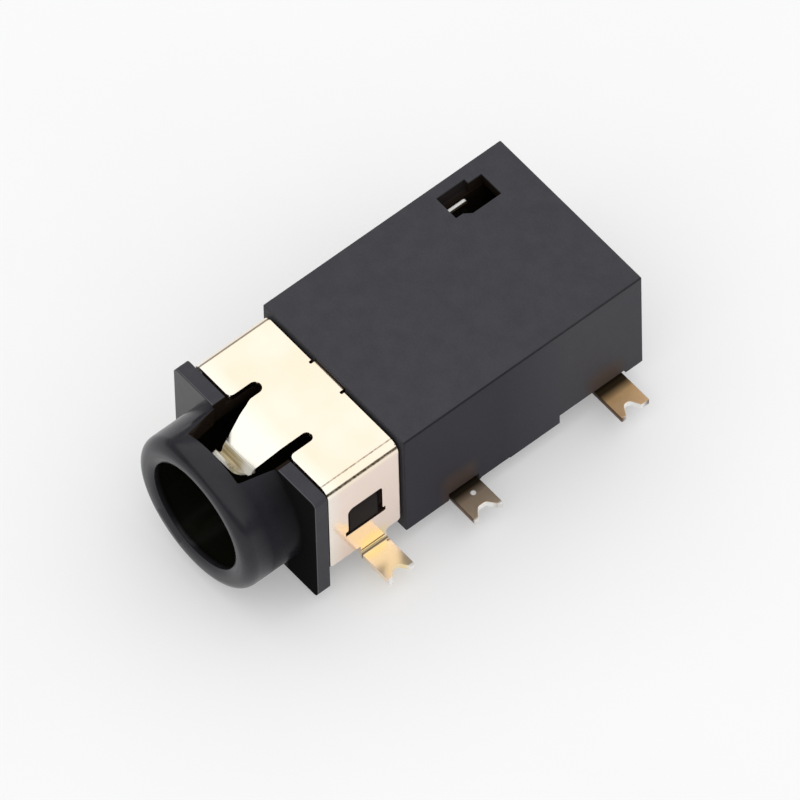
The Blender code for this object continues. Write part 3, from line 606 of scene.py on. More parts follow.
def finish_shading(item):
    item.data.shade_smooth()
    item.data.set_sharp_from_angle(angle=math.radians(SMOOTH_DEGREES))
    modifier = item.modifiers.new("flat_faces", "WEIGHTED_NORMAL")
    modifier.keep_sharp = True
    modifier.weight = FLAT_WEIGHT
    apply_modifiers(item)


def insulator_moulding(material):
    parts = insulator_parts()
    piece = mesh_object("insulator_moulding", parts[0], material)
    combine(piece, parts[1:], "UNION")
    combine(piece, insulator_cuts(), "DIFFERENCE")
    soften(piece, MOULD_EDGE)
    finish_shading(piece)
    return piece


# Sheet metal, folded from flat blanks

def straight(length):
    return (length, 0.0)


def bend(degrees, radius):
    """A bend; the radius is that of the sheet's lower face."""
    angle = math.radians(degrees)
    return (abs(angle) * radius, angle)


def total(steps):
    return sum(length for length, angle in steps)


def along(start, heading, steps, distance, height):
    """The point of a folded strip at a distance along it and a height above its lower face."""
    point = Vector(start)
    if distance < 0:
        point += distance * Vector((math.cos(heading), math.sin(heading)))
        distance = 0.0
    for length, angle in steps:
        used = min(distance, length)
        if angle:
            radius = length / angle
            centre = point + radius * Vector((-math.sin(heading), math.cos(heading)))
            heading += angle * used / length
            point = centre + radius * Vector((math.sin(heading), -math.cos(heading)))
        else:
            point += used * Vector((math.cos(heading), math.sin(heading)))
        distance -= used
        if distance <= 0:
            break
    if distance > 0:
        point += distance * Vector((math.cos(heading), math.sin(heading)))
    return point + height * Vector((-math.sin(heading), math.cos(heading)))


def crease_lines(steps):
    """Distances at which a strip needs an edge across it so that it can bend."""
    lines = []
    reached = 0.0
    for length, angle in steps:
        if angle:
            pieces = max(3, round(abs(math.degrees(angle)) / BEND_DEGREES))
            lines += [reached + length * step / pieces for step in range(-1, pieces + 2)]
        reached += length
    return lines


def crease(blank, axis, values):
    """Cuts edges across the blank at each value of u (axis 0) or v (axis 1)."""
    normal = (1, 0, 0) if axis == 0 else (0, 1, 0)
    for value in values:
        place = (value, 0, 0) if axis == 0 else (0, value, 0)
        everything = blank.verts[:] + blank.edges[:] + blank.faces[:]
        bmesh.ops.bisect_plane(blank, geom=everything, plane_co=place, plane_no=normal, dist=HAIR)


def stamped_slab(loops, creases_u, creases_v):
    """A slab of sheet with rolled edges, creased where it will bend."""
    slab = thicken(flat_blank(loops), SHEET)
    bmesh.ops.dissolve_limit(slab, angle_limit=math.radians(FLAT_DEGREES), verts=slab.verts,
                             edges=slab.edges)
    rims = [line for line in slab.edges if len(line.link_faces) == 2
            and abs(line.verts[0].co.z - line.verts[1].co.z) < HAIR]
    bmesh.ops.bevel(slab, geom=rims, offset=STAMPED_EDGE, offset_type="OFFSET", segments=STAMPED_EDGE_STEPS,
                    profile=0.5, affect="EDGES", material=-1, clamp_overlap=True)
    crease(slab, 0, creases_u)
    crease(slab, 1, creases_v)
    for line in slab.edges:
        level = [abs(face.normal.z) > LEVEL_NORMAL for face in line.link_faces]
        line.smooth = len(level) != 2 or level[0] == level[1]
    return slab


def fold(slab, place):
    """Moves each point of a slab from the flat (u, v, height) to its place on the folded part."""
    for vert in slab.verts:
        vert.co = place(*vert.co)
    bmesh.ops.remove_doubles(slab, verts=slab.verts, dist=HAIR)
    bmesh.ops.triangulate(slab, faces=slab.faces)
    return slab


def fork(tip, low, high, prongs):
    """Points along the forked end of a foot at u = tip, from v = low to v = high."""
    first, last = low + prongs[0], high - prongs[1]
    narrowing = (last - first) / 3
    root = tip - FORK_DEPTH
    return [(tip, low, FORK_CORNER), (tip, first, FORK_CORNER), (root, first + narrowing, FORK_ROUND),
            (root, last - narrowing, FORK_ROUND), (tip, last, FORK_CORNER), (tip, high, FORK_CORNER)]


def shell_steps():
    """Folds from the middle of the top to the tip of a foot."""
    foot_radius = FOOT_BEND + SHEET
    wall = SHELL_UNDERSIDE - SHELL_BEND - foot_radius
    return [straight(SHELL_INSIDE - SHELL_BEND), bend(-90, SHELL_BEND), straight(wall),
            bend(90, foot_radius), straight(FOOT_REACH - SHELL_INSIDE - foot_radius)]


def tongue_steps():
    """Folds from the tongue's root to the edge of its lip."""
    return [bend(-TONGUE_SLOPE, TONGUE_BEND_RADIUS), straight(TONGUE_RAMP),
            bend(TONGUE_SLOPE - TONGUE_STEEP, TONGUE_CREASE), straight(TONGUE_DROP),
            bend(TONGUE_STEEP + TONGUE_LIP_RISE, TONGUE_VALLEY + SHEET), straight(TONGUE_LIP_LENGTH)]


def blank_at_height(height):
    """Distance along the blank, from the middle of the top, at which the wall has a height."""
    steps = shell_steps()
    return steps[0][0] + steps[1][0] + SHELL_UNDERSIDE - SHELL_BEND - height


def shell_side_outline(side):
    """Blank outline of one side wall, from its front bottom corner to its rear bottom corner."""
    skirt = blank_at_height(SHELL_SKIRT_HEIGHT)
    low = HOUSING_FRONT - SHELL_FOOT_FRONT
    high = low + SHELL_FOOT_WIDTH
    corners = [(skirt, SHELL_FRONT, SHELL_CORNER), (skirt, low, FORK_CORNER)]
    corners += fork(total(shell_steps()), low, high, PRONGS)
    corners += [(skirt, high, SHELL_CORNER), (skirt, SHELL_REAR, SHELL_CORNER)]
    if side < 0:
        corners = [(-u, v, radius) for u, v, radius in reversed(corners)]
    return corners


def tongue_side_outline(side, slot, lip):
    """Blank outline of one side of the tongue, from the lip's corners to the shell's front edge."""
    steps = tongue_steps()
    tip = TONGUE_START - total(steps)
    slope_end = TONGUE_START - total(steps[:2])
    shoulder = TONGUE_START - TONGUE_SHOULDER_PLACE
    slot_end = HOUSING_FRONT - SLOT_END
    root = side * TONGUE_ROOT_CENTRE + TONGUE_ROOT_WIDTH / 2
    round_end = (slot - root) / 2
    corners = [(u, tip + from_tip, radius) for u, from_tip, radius in lip]
    corners += [(TONGUE_TIP_WIDTH / 2, slope_end, 0), (TONGUE_SHOULDER_WIDTH / 2, shoulder, SHEET),
                (root, shoulder + TONGUE_SHOULDER_LENGTH, SHEET), (root, slot_end, round_end),
                (slot, slot_end, round_end), (slot, SHELL_FRONT, SLOT_FLARE)]
    return [(side * u, v, radius) for u, v, radius in corners]


def front_edge_outline():
    """Blank outline of the front edge, from the left wall to the right: slot, tongue and slot."""
    half = TONGUE_TIP_WIDTH / 2
    left = tongue_side_outline(-1, SLOT_LEFT, [(half, 0, TONGUE_LIP_CORNER)])
    right = tongue_side_outline(1, SLOT_RIGHT, [(half - TONGUE_CUT_WIDTH, 0, TONGUE_CUT_ROUND),
                                                (half, TONGUE_CUT_LENGTH, TONGUE_CUT_ROUND)])
    return left[::-1] + right


def lip_height(from_root, height):
    """Height above the tongue's lower face, thinned towards the edge of the lip."""
    lip_start = total(tongue_steps()[:4])
    share = max(0.0, from_root - lip_start) / (total(tongue_steps()) - lip_start)
    thickness = SHEET + share * (TONGUE_LIP_THICKNESS - SHEET)
    return SHEET - (SHEET - height) * thickness / SHEET


def rear_edge_outline():
    """Blank outline of the rear edge, from the right wall to the left, with the tab."""
    end = SHELL_REAR + REAR_TAB_LENGTH
    corners = []
    for sign in (1, -1):
        edge = REAR_TAB_CENTRE + sign * REAR_TAB_WIDTH / 2
        side = edge + sign * REAR_TAB_RELIEF
        notch = [(side, SHELL_REAR, 0), (side, SHELL_REAR - REAR_TAB_RELIEF, REAR_TAB_CORNER),
                 (edge, SHELL_REAR - REAR_TAB_RELIEF, REAR_TAB_CORNER), (edge, end, REAR_TAB_CORNER)]
        corners += notch if sign > 0 else reversed(notch)
    return corners


def window_outline(side):
    """Blank outline of the window in a side wall, with relief ears at the sill."""
    top = blank_at_height(WINDOW_TOP)
    sill = blank_at_height(WINDOW_SILL)
    front, rear = HOUSING_FRONT - WINDOW_FRONT, HOUSING_FRONT - WINDOW_REAR
    ear = sill - EAR_HEIGHT
    below = [(ear, front), (ear, front - EAR_DEPTH), (sill, front - EAR_DEPTH),
             (sill, rear + EAR_DEPTH), (ear, rear + EAR_DEPTH), (ear, rear)]
    corners = [(top, front, WINDOW_CORNER)] + [(u, v, EAR_CORNER) for u, v in below]
    corners += [(top, rear, WINDOW_REAR_CORNER)]
    return rounded([(side * u, v, radius) for u, v, radius in corners])


def shell_sheet(material):
    steps = shell_steps()
    tongue = tongue_steps()
    outer = front_edge_outline() + shell_side_outline(1) + rear_edge_outline() + shell_side_outline(-1)
    lines = crease_lines(steps)
    slab = stamped_slab([rounded(outer), window_outline(1), window_outline(-1)],
                        lines + [-value for value in lines],
                        [TONGUE_START - value for value in crease_lines(tongue)])

    def place(u, v, height):
        if v < TONGUE_START and abs(u) < (TONGUE_ROOT_WIDTH / 2 + SLOT_RIGHT) / 2:
            past = TONGUE_START - v
            point = along((-TONGUE_START, SHELL_UNDERSIDE), 0.0, tongue, past, lip_height(past, height))
            return Vector((u, -point.x, point.y))
        point = along((0, SHELL_UNDERSIDE), 0.0, steps, abs(u), height)
        return Vector((math.copysign(point.x, u), v, point.y))

    piece = mesh_object("shell_sheet", fold(slab, place), material)
    piece.data.shade_smooth()
    return piece


def plate_steps(height):
    """Folds of a contact from the top of its plate to the tip of its foot."""
    foot_radius = FOOT_BEND + SHEET
    return [straight(height - foot_radius), bend(90, foot_radius),
            straight(FOOT_REACH - PLATE_INSIDE - foot_radius)]


def arm_steps(length):
    """Folds of a contact's arm, from its plate to its tail."""
    return [straight(ARM_BEND), bend(-ARM_SLOPE, ARM_BEND), straight(length),
            bend(2 * ARM_SLOPE, BUMP_RADIUS), straight(ARM_TAIL)]


def contact_strip(name, side, start, width, height, way, arm, prongs, material):
    """A stamped contact: a plate with a forked foot below and a sprung arm at one side."""
    steps = plate_steps(height)
    arm_path = arm_steps(arm)
    arm_top = height - AXIS_HEIGHT - ARM_HEIGHT / 2
    arm_bottom = arm_top + ARM_HEIGHT
    arm_end = width + total(arm_path)
    corner = PLATE_CORNER
    corners = [(0, 0, corner)] + fork(total(steps), 0, width, prongs)
    corners += [(arm_bottom, width, corner), (arm_bottom, arm_end, corner), (arm_top, arm_end, corner),
                (arm_top, width, corner), (0, width, corner)]
    slab = stamped_slab([rounded(corners)], crease_lines(steps),
                        [width + value for value in crease_lines(arm_path)])

    def place(u, v, lift):
        if v > width:
            point = along((width, PLATE_INSIDE), 0.0, arm_path, v - width, lift)
            x, across, z = point.y, point.x, height - u
        else:
            point = along((PLATE_INSIDE, height), -math.pi / 2, steps, u, lift)
            x, across, z = point.x, v, point.y
        y = start + across if way > 0 else start + width - across
        return Vector((side * x, HOUSING_FRONT + y, z))

    piece = mesh_object(name.replace("contact", "strip"), fold(slab, place), material)
    piece.data.shade_smooth()
    return piece


# Materials, placed by Object coordinates

# Colours in linear light; a pair is what a pattern runs between
HOUSING_LIT = ((0.043, 0.042, 0.049), (0.055, 0.054, 0.062))
# Painted shade for the front of the housing's right side wall
HOUSING_PAINTED_SHADE = ((0.021, 0.020, 0.028), (0.029, 0.028, 0.038))
# Painted reflection of the gold feet on the housing's side wall
HOUSING_FOOT_REFLECTION = (0.070, 0.044, 0.030)
# Painted shade along the top edge of the housing's right side wall
HOUSING_TOP_EDGE_SHADE = (0.008, 0.008, 0.010)
# Painted highlight along the flange's front edge
FLANGE_FRONT_EDGE_HIGHLIGHT = (0.15, 0.15, 0.16)
NOSE_BLACK = ((0.014, 0.014, 0.018), (0.018, 0.018, 0.023))
# Painted shade at the right rear of the nose and on the flange's front face beside it
NOSE_CORNER_SHADE = (0.009, 0.009, 0.009)
# Painted shade in the hollows and on the snap bosses under the shell
INSIDE_AND_SNAP_BOSS_SHADE = ((0.015, 0.010, 0.007), (0.024, 0.020, 0.019))
# Painted shade in the bore
BORE_SHADE = (0.006, 0.006, 0.004)
CREAM_GOLD = ((0.935, 0.81, 0.64), (0.95, 0.86, 0.72))
# Painted reflection tint on the shell's side walls
PINK_GOLD_REFLECTION = ((0.95, 0.79, 0.69), (0.97, 0.82, 0.73))
# Painted reflection tint on the shell's feet, from the gold wall beside them
YELLOW_GOLD_REFLECTION = ((0.98, 0.80, 0.48), (1.0, 0.84, 0.54))
# Painted highlight on the tongue's slope
SLOPE_HIGHLIGHT = (0.98, 0.96, 0.88)
# Painted light on the tongue's steep face, with streaks
TAN_PAINTED_LIGHT = ((0.55, 0.45, 0.27), (0.84, 0.75, 0.53))
# Painted shade lines along the shell's bends
FOLD_SHADE = (0.16, 0.11, 0.06)
SHELL_SOLDER = (0.93, 0.93, 0.93)
GREY_BRONZE = ((0.80, 0.62, 0.44), (0.88, 0.70, 0.52))
GOLD_BRONZE = ((0.86, 0.56, 0.27), (0.94, 0.64, 0.34))
WORN_BRONZE = (0.62, 0.42, 0.28)
CUT_BRONZE = (0.16, 0.10, 0.06)
# Painted shade at the roots of the contacts' feet
ROOT_SHADE = (0.05, 0.035, 0.02)
# Painted shade on the contacts inside the housing
BURIED_SHADE = (0.02, 0.015, 0.008)
# Tin, also used for a painted glint and a painted highlight on the contacts
CONTACT_TIN_AND_HIGHLIGHT = (0.93, 0.92, 0.90)
FLOOR_WHITE = ((0.680, 0.680, 0.683), (0.692, 0.692, 0.695))


class Finish:
    """A material built around one Principled shader."""

    def __init__(self, name, roughness, metallic):
        self.material = bpy.data.materials.new(name)
        self.material.use_nodes = True
        self.tree = self.material.node_tree
        self.shader = self.tree.nodes["Principled BSDF"]
        self.shader.inputs["Roughness"].default_value = roughness
        self.shader.inputs["Metallic"].default_value = metallic
        self.place = self.add("ShaderNodeTexCoord").outputs["Object"]

    def add(self, kind, **settings):
        node = self.tree.nodes.new(kind)
        for name, value in settings.items():
            setattr(node, name, value)
        return node

    def wire(self, source, target):
        self.tree.links.new(source, target)

    def read_axes(self):
        """Splits a place into across, back and up, with its distance from the middle."""
        split = self.add("ShaderNodeSeparateXYZ")
        self.wire(self.place, split.inputs["Vector"])
        self.across, self.back, self.up = split.outputs
        self.from_middle = self.size_of(self.across)

    def noise(self, size, detail=3.0, roughness=0.5, stretch=(1, 1, 1)):
        """Noise whose features are about a size in metres, from 0 to 1."""
        scale = self.add("ShaderNodeMapping")
        scale.inputs["Scale"].default_value = [value / size for value in stretch]
        self.wire(self.place, scale.inputs["Vector"])
        node = self.add("ShaderNodeTexNoise")
        node.inputs["Scale"].default_value = 1.0
        node.inputs["Detail"].default_value = detail
        node.inputs["Roughness"].default_value = roughness
        self.wire(scale.outputs["Vector"], node.inputs["Vector"])
        return node.outputs["Fac"]

    def spread(self, value, low, high, out_low, out_high):
        """Maps a value from one range to another, clamped."""
        node = self.add("ShaderNodeMapRange")
        node.inputs["From Min"].default_value = low
        node.inputs["From Max"].default_value = high
        node.inputs["To Min"].default_value = out_low
        node.inputs["To Max"].default_value = out_high
        self.wire(value, node.inputs["Value"])
        return node.outputs["Result"]

    def rise(self, value, low, high):
        """Nothing up to a low value and one from a high value on."""
        return self.spread(value, low, high, 0.0, 1.0)

    def fall(self, value, low, high):
        """One up to a low value and nothing from a high value on."""
        return self.spread(value, low, high, 1.0, 0.0)

    def maths(self, operation, first, second=0.0):
        node = self.add("ShaderNodeMath", operation=operation)
        for socket, value in zip(node.inputs, (first, second)):
            if isinstance(value, (int, float)):
                socket.default_value = value
            else:
                self.wire(value, socket)
        return node.outputs["Value"]

    def both(self, first, *others):
        """The product, which is one only where every mask is one."""
        for other in others:
            first = self.maths("MULTIPLY", first, other)
        return first

    def either(self, first, *others):
        """The largest of several masks."""
        for other in others:
            first = self.maths("MAXIMUM", first, other)
        return first

    def plus(self, first, second):
        return self.maths("ADD", first, second)

    def minus(self, first, second):
        return self.maths("SUBTRACT", first, second)

    def below(self, value, limit):
        return self.maths("LESS_THAN", value, limit)

    def above(self, value, limit):
        return self.maths("GREATER_THAN", value, limit)

    def size_of(self, value):
        return self.maths("ABSOLUTE", value)

    def hypotenuse(self, first, second):
        squares = (self.both(first, first), self.both(second, second))
        return self.maths("SQRT", self.plus(*squares))

    def near(self, value, target, reach):
        """One at a target value, falling to nothing at a reach from it."""
        return self.fall(self.size_of(self.minus(value, target)), reach / 2, reach)

    def mix(self, amount, first, second):
        """A colour between two others."""
        node = self.add("ShaderNodeMix", data_type="RGBA")
        self.wire(amount, node.inputs["Factor"])
        for socket, value in ((node.inputs["A"], first), (node.inputs["B"], second)):
            if isinstance(value, tuple):
                socket.default_value = (*value, 1.0)
            else:
                self.wire(value, socket)
        return node.outputs["Result"]

    def feed(self, name, value):
        """Wires a value to one of the shader's sockets."""
        self.wire(value, self.shader.inputs[name])

    def bump(self, height, distance, strength):
        node = self.add("ShaderNodeBump")
        node.inputs["Distance"].default_value = distance
        node.inputs["Strength"].default_value = strength
        self.wire(height, node.inputs["Height"])
        self.feed("Normal", node.outputs["Normal"])


def housing_colour(finish, patches):
    """Housing and flange: painted shade on the right side wall short of its rear, painted reflections of the
    right feet above them, a painted shade line along that wall's top edge and a painted highlight along the
    flange's front edge.
    """
    beside = finish.both(finish.rise(finish.across, HOUSING_SIDE - 0.06 * mm, HOUSING_SIDE - 0.02 * mm),
                         finish.rise(finish.back, HOUSING_FRONT - 0.1 * mm, HOUSING_FRONT - 0.05 * mm))
    not_rear = finish.fall(finish.back, HOUSING_FRONT + 3.5 * mm, HOUSING_FRONT + 6 * mm)
    # Painted shade: the right side wall, short of its rear, takes the darker pair of colours
    colour = finish.mix(finish.both(beside, not_rear), finish.mix(patches, *HOUSING_LIT),
                        finish.mix(patches, *HOUSING_PAINTED_SHADE))
    # Painted reflection: a warm patch on the right side wall above each right foot
    for start, width in RIGHT_FEET:
        painted_foot_reflection = finish.both(finish.near(finish.back, HOUSING_FRONT + start + width / 3, 0.8 * mm),
                           finish.near(finish.up, 0.4 * mm, 1.0 * mm), beside, 0.6)
        colour = finish.mix(painted_foot_reflection, colour, HOUSING_FOOT_REFLECTION)
    # Painted shade: a dark line along the top edge of the right side wall
    top_edge_shade = finish.rise(finish.up, HOUSING_HEIGHT - 0.075 * mm, HOUSING_HEIGHT - 0.045 * mm)
    colour = finish.mix(finish.both(top_edge_shade, beside, 0.7), colour, HOUSING_TOP_EDGE_SHADE)
    # Painted highlight: a light line along the flange's front edge
    front_edge_highlight = finish.near(finish.back, FLANGE_FRONT + 0.03 * mm, 0.02 * mm)
    return finish.mix(finish.both(front_edge_highlight, 0.7), colour, FLANGE_FRONT_EDGE_HIGHLIGHT)


def notch_mask(finish):
    """Walls of the notch in the nose, the slot in the flange and the well in the core, which are painted
    with shade.
    """
    front = NOSE_FACE + NOTCH_SETBACK
    half_width = finish.plus(
        finish.spread(finish.back, front, FLANGE_FRONT, NOTCH_FRONT_WIDTH / 2, NOTCH_REAR_WIDTH / 2),
        finish.spread(finish.back, FLANGE_FRONT, FLANGE_FRONT + 0.01 * mm, 0.012 * mm,
                      0.06 * mm + (FLANGE_SLOT_WIDTH - NOTCH_REAR_WIDTH) / 2))
    off_centre = finish.size_of(finish.minus(finish.across, NOTCH_REAR_CENTRE))
    return finish.both(finish.below(off_centre, half_width), finish.above(finish.up, AXIS_HEIGHT),
                       finish.above(finish.back, front - 0.008 * mm),
                       finish.below(finish.back, HOUSING_FRONT))


def window_mask(finish):
    """Walls of the window in the housing's top, which are painted with shade."""
    return finish.both(finish.below(finish.up, HOUSING_HEIGHT - 0.05 * mm),
                       finish.above(finish.back, HOUSING_FRONT),
                       finish.below(finish.back, HOUSING_REAR - 0.1 * mm),
                       finish.below(finish.from_middle, HOUSING_SIDE - 0.1 * mm))


def moulding_finish():
    """Black moulding: matt grain on the housing, smoother on the nose and flange, and darkest inside, where
    shade is painted.
    """
    finish = Finish("black_moulding", 0.5, 0.0)
    finish.read_axes()
    mottle = finish.noise(0.5 * mm, 4.0, 0.6)
    grain = finish.noise(0.05 * mm, 3.0, 0.6)
    specks = finish.noise(0.07 * mm, 2.0, 0.6)
    patches = finish.plus(finish.spread(mottle, 0.35, 0.65, 0.0, 0.6),
                          finish.spread(specks, 0.35, 0.65, 0.0, 0.4))

    on_nose = finish.fall(finish.back, FLANGE_FRONT + 0.01 * mm, FLANGE_FRONT + 0.04 * mm)
    right = finish.both(finish.rise(finish.across, 0.4 * mm, 1.8 * mm), on_nose)
    flank = finish.both(right, finish.rise(finish.back, NOSE_FACE + 0.35 * mm, NOSE_FACE + 0.9 * mm))
    # Painted shade: the right rear of the nose and the flange's front face beside it are darkened where the
    # nose shades them, and the nose's right flank is given less gloss
    corner = finish.both(right, finish.rise(finish.back, FLANGE_FRONT - 0.7 * mm, FLANGE_FRONT - 0.05 * mm))
    nose = finish.mix(finish.both(corner, 0.85), finish.mix(patches, *NOSE_BLACK), NOSE_CORNER_SHADE)
    outside_colour = finish.mix(on_nose, housing_colour(finish, patches), nose)

    # Painted shade: the bore behind its lip, with a disc of the rear wall's outer face around the tip's
    # hole, the core under the shell, the notch, slot and well, and the top window's walls are darkened, the
    # snap bosses a little less
    from_axis = finish.hypotenuse(finish.across, finish.minus(finish.up, AXIS_HEIGHT))
    in_bore = finish.both(finish.fall(from_axis, BORE_RADIUS + 0.02 * mm, BORE_RADIUS + 0.05 * mm),
                          finish.rise(finish.back, NOSE_FACE + LIP_DEPTH / 2, NOSE_FACE + LIP_DEPTH))
    core = finish.both(finish.rise(finish.back, FLANGE_REAR + 0.01 * mm, FLANGE_REAR + 0.03 * mm),
                       finish.fall(finish.back, HOUSING_FRONT - 0.03 * mm, HOUSING_FRONT - 0.01 * mm))
    inside = finish.either(in_bore, core, notch_mask(finish), window_mask(finish))
    snap_bosses = finish.rise(finish.from_middle, CORE_HALF_WIDTH - 0.1 * mm, CORE_HALF_WIDTH)
    inside_shade = finish.mix(in_bore, finish.mix(snap_bosses, *INSIDE_AND_SNAP_BOSS_SHADE), BORE_SHADE)
    finish.feed("Base Color", finish.mix(inside, outside_colour, inside_shade))

    matt = finish.spread(mottle, 0.3, 0.7, 0.55, 0.62)
    satin = finish.spread(mottle, 0.3, 0.7, 0.18, 0.26)
    finish.feed("Roughness", finish.plus(matt, finish.both(finish.minus(satin, matt), on_nose)))
    shaded = finish.either(finish.both(flank, 0.9), corner)
    gloss = finish.both(finish.spread(on_nose, 0.0, 1.0, 0.15, 0.29), finish.minus(1.0, shaded),
                        finish.minus(1.0, finish.both(inside, 0.85)))
    finish.feed("Specular IOR Level", gloss)
    finish.bump(finish.both(grain, finish.minus(1.0, finish.both(on_nose, 0.7))), 0.006 * mm, 0.6)
    return finish.material


def tongue_place(distance):
    """How far back the tongue's upper face lies at a distance along the tongue."""
    lift = lip_height(distance, SHEET)
    return -along((-TONGUE_START, SHELL_UNDERSIDE), 0.0, tongue_steps(), distance, lift).x


def shell_colour(finish):
    """Creamy on top, with a pinker painted reflection on the side walls and a yellower painted reflection on
    the feet.
    """
    fold_height = SHELL_BEND + SHEET
    cloud = finish.rise(finish.noise(1.8 * mm, 3.0, 0.5), 0.35, 0.65)
    below_fold = finish.fall(finish.up, SHELL_TOP - 0.9 * fold_height, SHELL_TOP - 0.7 * fold_height)
    beside = finish.rise(finish.from_middle, SHELL_WALL - 0.3 * mm, SHELL_WALL - 0.2 * mm)
    on_wall = finish.both(below_fold, beside)
    foot_centre = HOUSING_FRONT - SHELL_FOOT_FRONT + SHELL_FOOT_WIDTH / 2
    on_foot = finish.both(finish.fall(finish.up, 0.7 * mm, 1.0 * mm),
                          finish.near(finish.back, foot_centre, 0.6 * mm))
    # Painted reflection: the side walls are tinted pinker than the top
    colour = finish.mix(on_wall, finish.mix(cloud, *CREAM_GOLD), finish.mix(cloud, *PINK_GOLD_REFLECTION))
    # Painted reflection: the feet and the foot of the wall are tinted yellower
    return finish.mix(on_foot, colour, finish.mix(cloud, *YELLOW_GOLD_REFLECTION))


def tongue_colour(finish, shell, slope_end, lip_edge):
    """A painted highlight that makes the slope pale, and painted light that makes the steep face tan with
    streaks, fading to the right.
    """
    # Painted highlight: the slope is made pale
    on_slope = finish.fall(finish.back, TONGUE_START - 0.6 * mm, TONGUE_START)
    colour = finish.mix(finish.both(on_slope, 0.8), shell, SLOPE_HIGHLIGHT)
    # Painted light: the steep face is made tan with streaks, fading to the right
    streaks = finish.rise(finish.noise(0.05 * mm, 2.0, 0.5, (0.05, 1, 1)), 0.35, 0.65)
    on_steep = finish.minus(finish.fall(finish.back, slope_end - 0.02 * mm, slope_end),
                            finish.fall(finish.back, lip_edge, lip_edge + 0.02 * mm))
    on_steep = finish.both(on_steep, finish.spread(finish.across, 0.15 * mm, 0.4 * mm, 1.0, 0.1))
    return finish.mix(on_steep, colour, finish.mix(streaks, *TAN_PAINTED_LIGHT))


def fold_shade_lines(finish):
    """Painted shade lines: broken lines at both ends of the right fold, and a line across the root of each
    foot.
    """
    broken = finish.spread(finish.noise(0.09 * mm, 3.0, 0.6), 0.4, 0.6, 0.5, 1.0)
    start = finish.near(finish.across, SHELL_WALL - SHELL_BEND - SHEET + 0.035 * mm, 0.03 * mm)
    end = finish.both(finish.near(finish.up, SHELL_TOP - 0.155 * mm, 0.05 * mm),
                      finish.rise(finish.across, SHELL_WALL - 0.3 * mm, SHELL_WALL - 0.2 * mm))
    shade_lines = finish.both(finish.either(finish.both(start, 0.75), end), broken)
    foot_root = finish.both(finish.near(finish.from_middle, SHELL_WALL + FOOT_BEND / 2, 0.035 * mm),
                            finish.below(finish.up, 0.4 * mm))
    return finish.either(shade_lines, foot_root)


def shell_finish():
    """Bright gold plating over the folded shell, with solder on the ends of the feet."""
    finish = Finish("bright_gold_plate", 0.14, 1.0)
    finish.read_axes()
    tongue = tongue_steps()
    slope_end = tongue_place(total(tongue[:2]))
    lip_edge = tongue_place(total(tongue))
    plate = tongue_colour(finish, shell_colour(finish), slope_end, lip_edge)
    # Painted shade lines along the right fold and across the feet's roots
    plate = finish.mix(fold_shade_lines(finish), plate, FOLD_SHADE)
    ends = finish.spread(finish.from_middle, FOOT_REACH - 0.12 * mm, FOOT_REACH - 0.07 * mm, 0.0, 0.9)
    finish.feed("Base Color", finish.mix(ends, plate, SHELL_SOLDER))

    rolled = finish.noise(0.03 * mm, 3.0, 0.6, (1, 0.06, 1))
    rougher_tip = finish.spread(finish.back, slope_end, slope_end + 0.05 * mm, 0.2, 0.0)
    rougher_foot = finish.spread(finish.from_middle, 3.0 * mm, 3.4 * mm, 0.0, 0.06)
    finish.feed("Roughness", finish.plus(finish.spread(rolled, 0.3, 0.7, 0.10, 0.17),
                                        finish.plus(rougher_tip, rougher_foot)))
    satin = finish.either(finish.fall(finish.back, slope_end, slope_end + 0.06 * mm), ends,
                          finish.spread(finish.from_middle, 3.0 * mm, 3.3 * mm, 0.0, 0.3))
    finish.feed("Metallic", finish.spread(satin, 0.0, 1.0, 1.0, 0.1))
    wave = finish.noise(1.2 * mm, 2.0, 0.4)
    finish.bump(finish.plus(wave, finish.both(rolled, 0.02)), 0.004 * mm, 0.5)
    return finish.material


def tinned_mask(finish, rear, cut_edge):
    """Tin on the ends of the front feet and on the cut edges of every fork."""
    ends = finish.rise(finish.from_middle, FOOT_REACH - 0.1 * mm, FOOT_REACH - 0.05 * mm)
    ends = finish.both(ends, finish.minus(1.0, rear), 0.8)
    inside_foot = finish.fall(finish.across, 0.0, 0.1 * mm)
    for start, width in RIGHT_FEET:
        middle = HOUSING_FRONT + start + width / 2
        inside_foot = finish.either(inside_foot, finish.near(finish.back, middle, width / 2 - 0.02 * mm))
    fork_start = FOOT_REACH - FORK_DEPTH
    past_root = finish.rise(finish.from_middle, fork_start - 0.05 * mm, fork_start - 0.03 * mm)
    return finish.either(ends, finish.both(past_root, inside_foot, cut_edge))


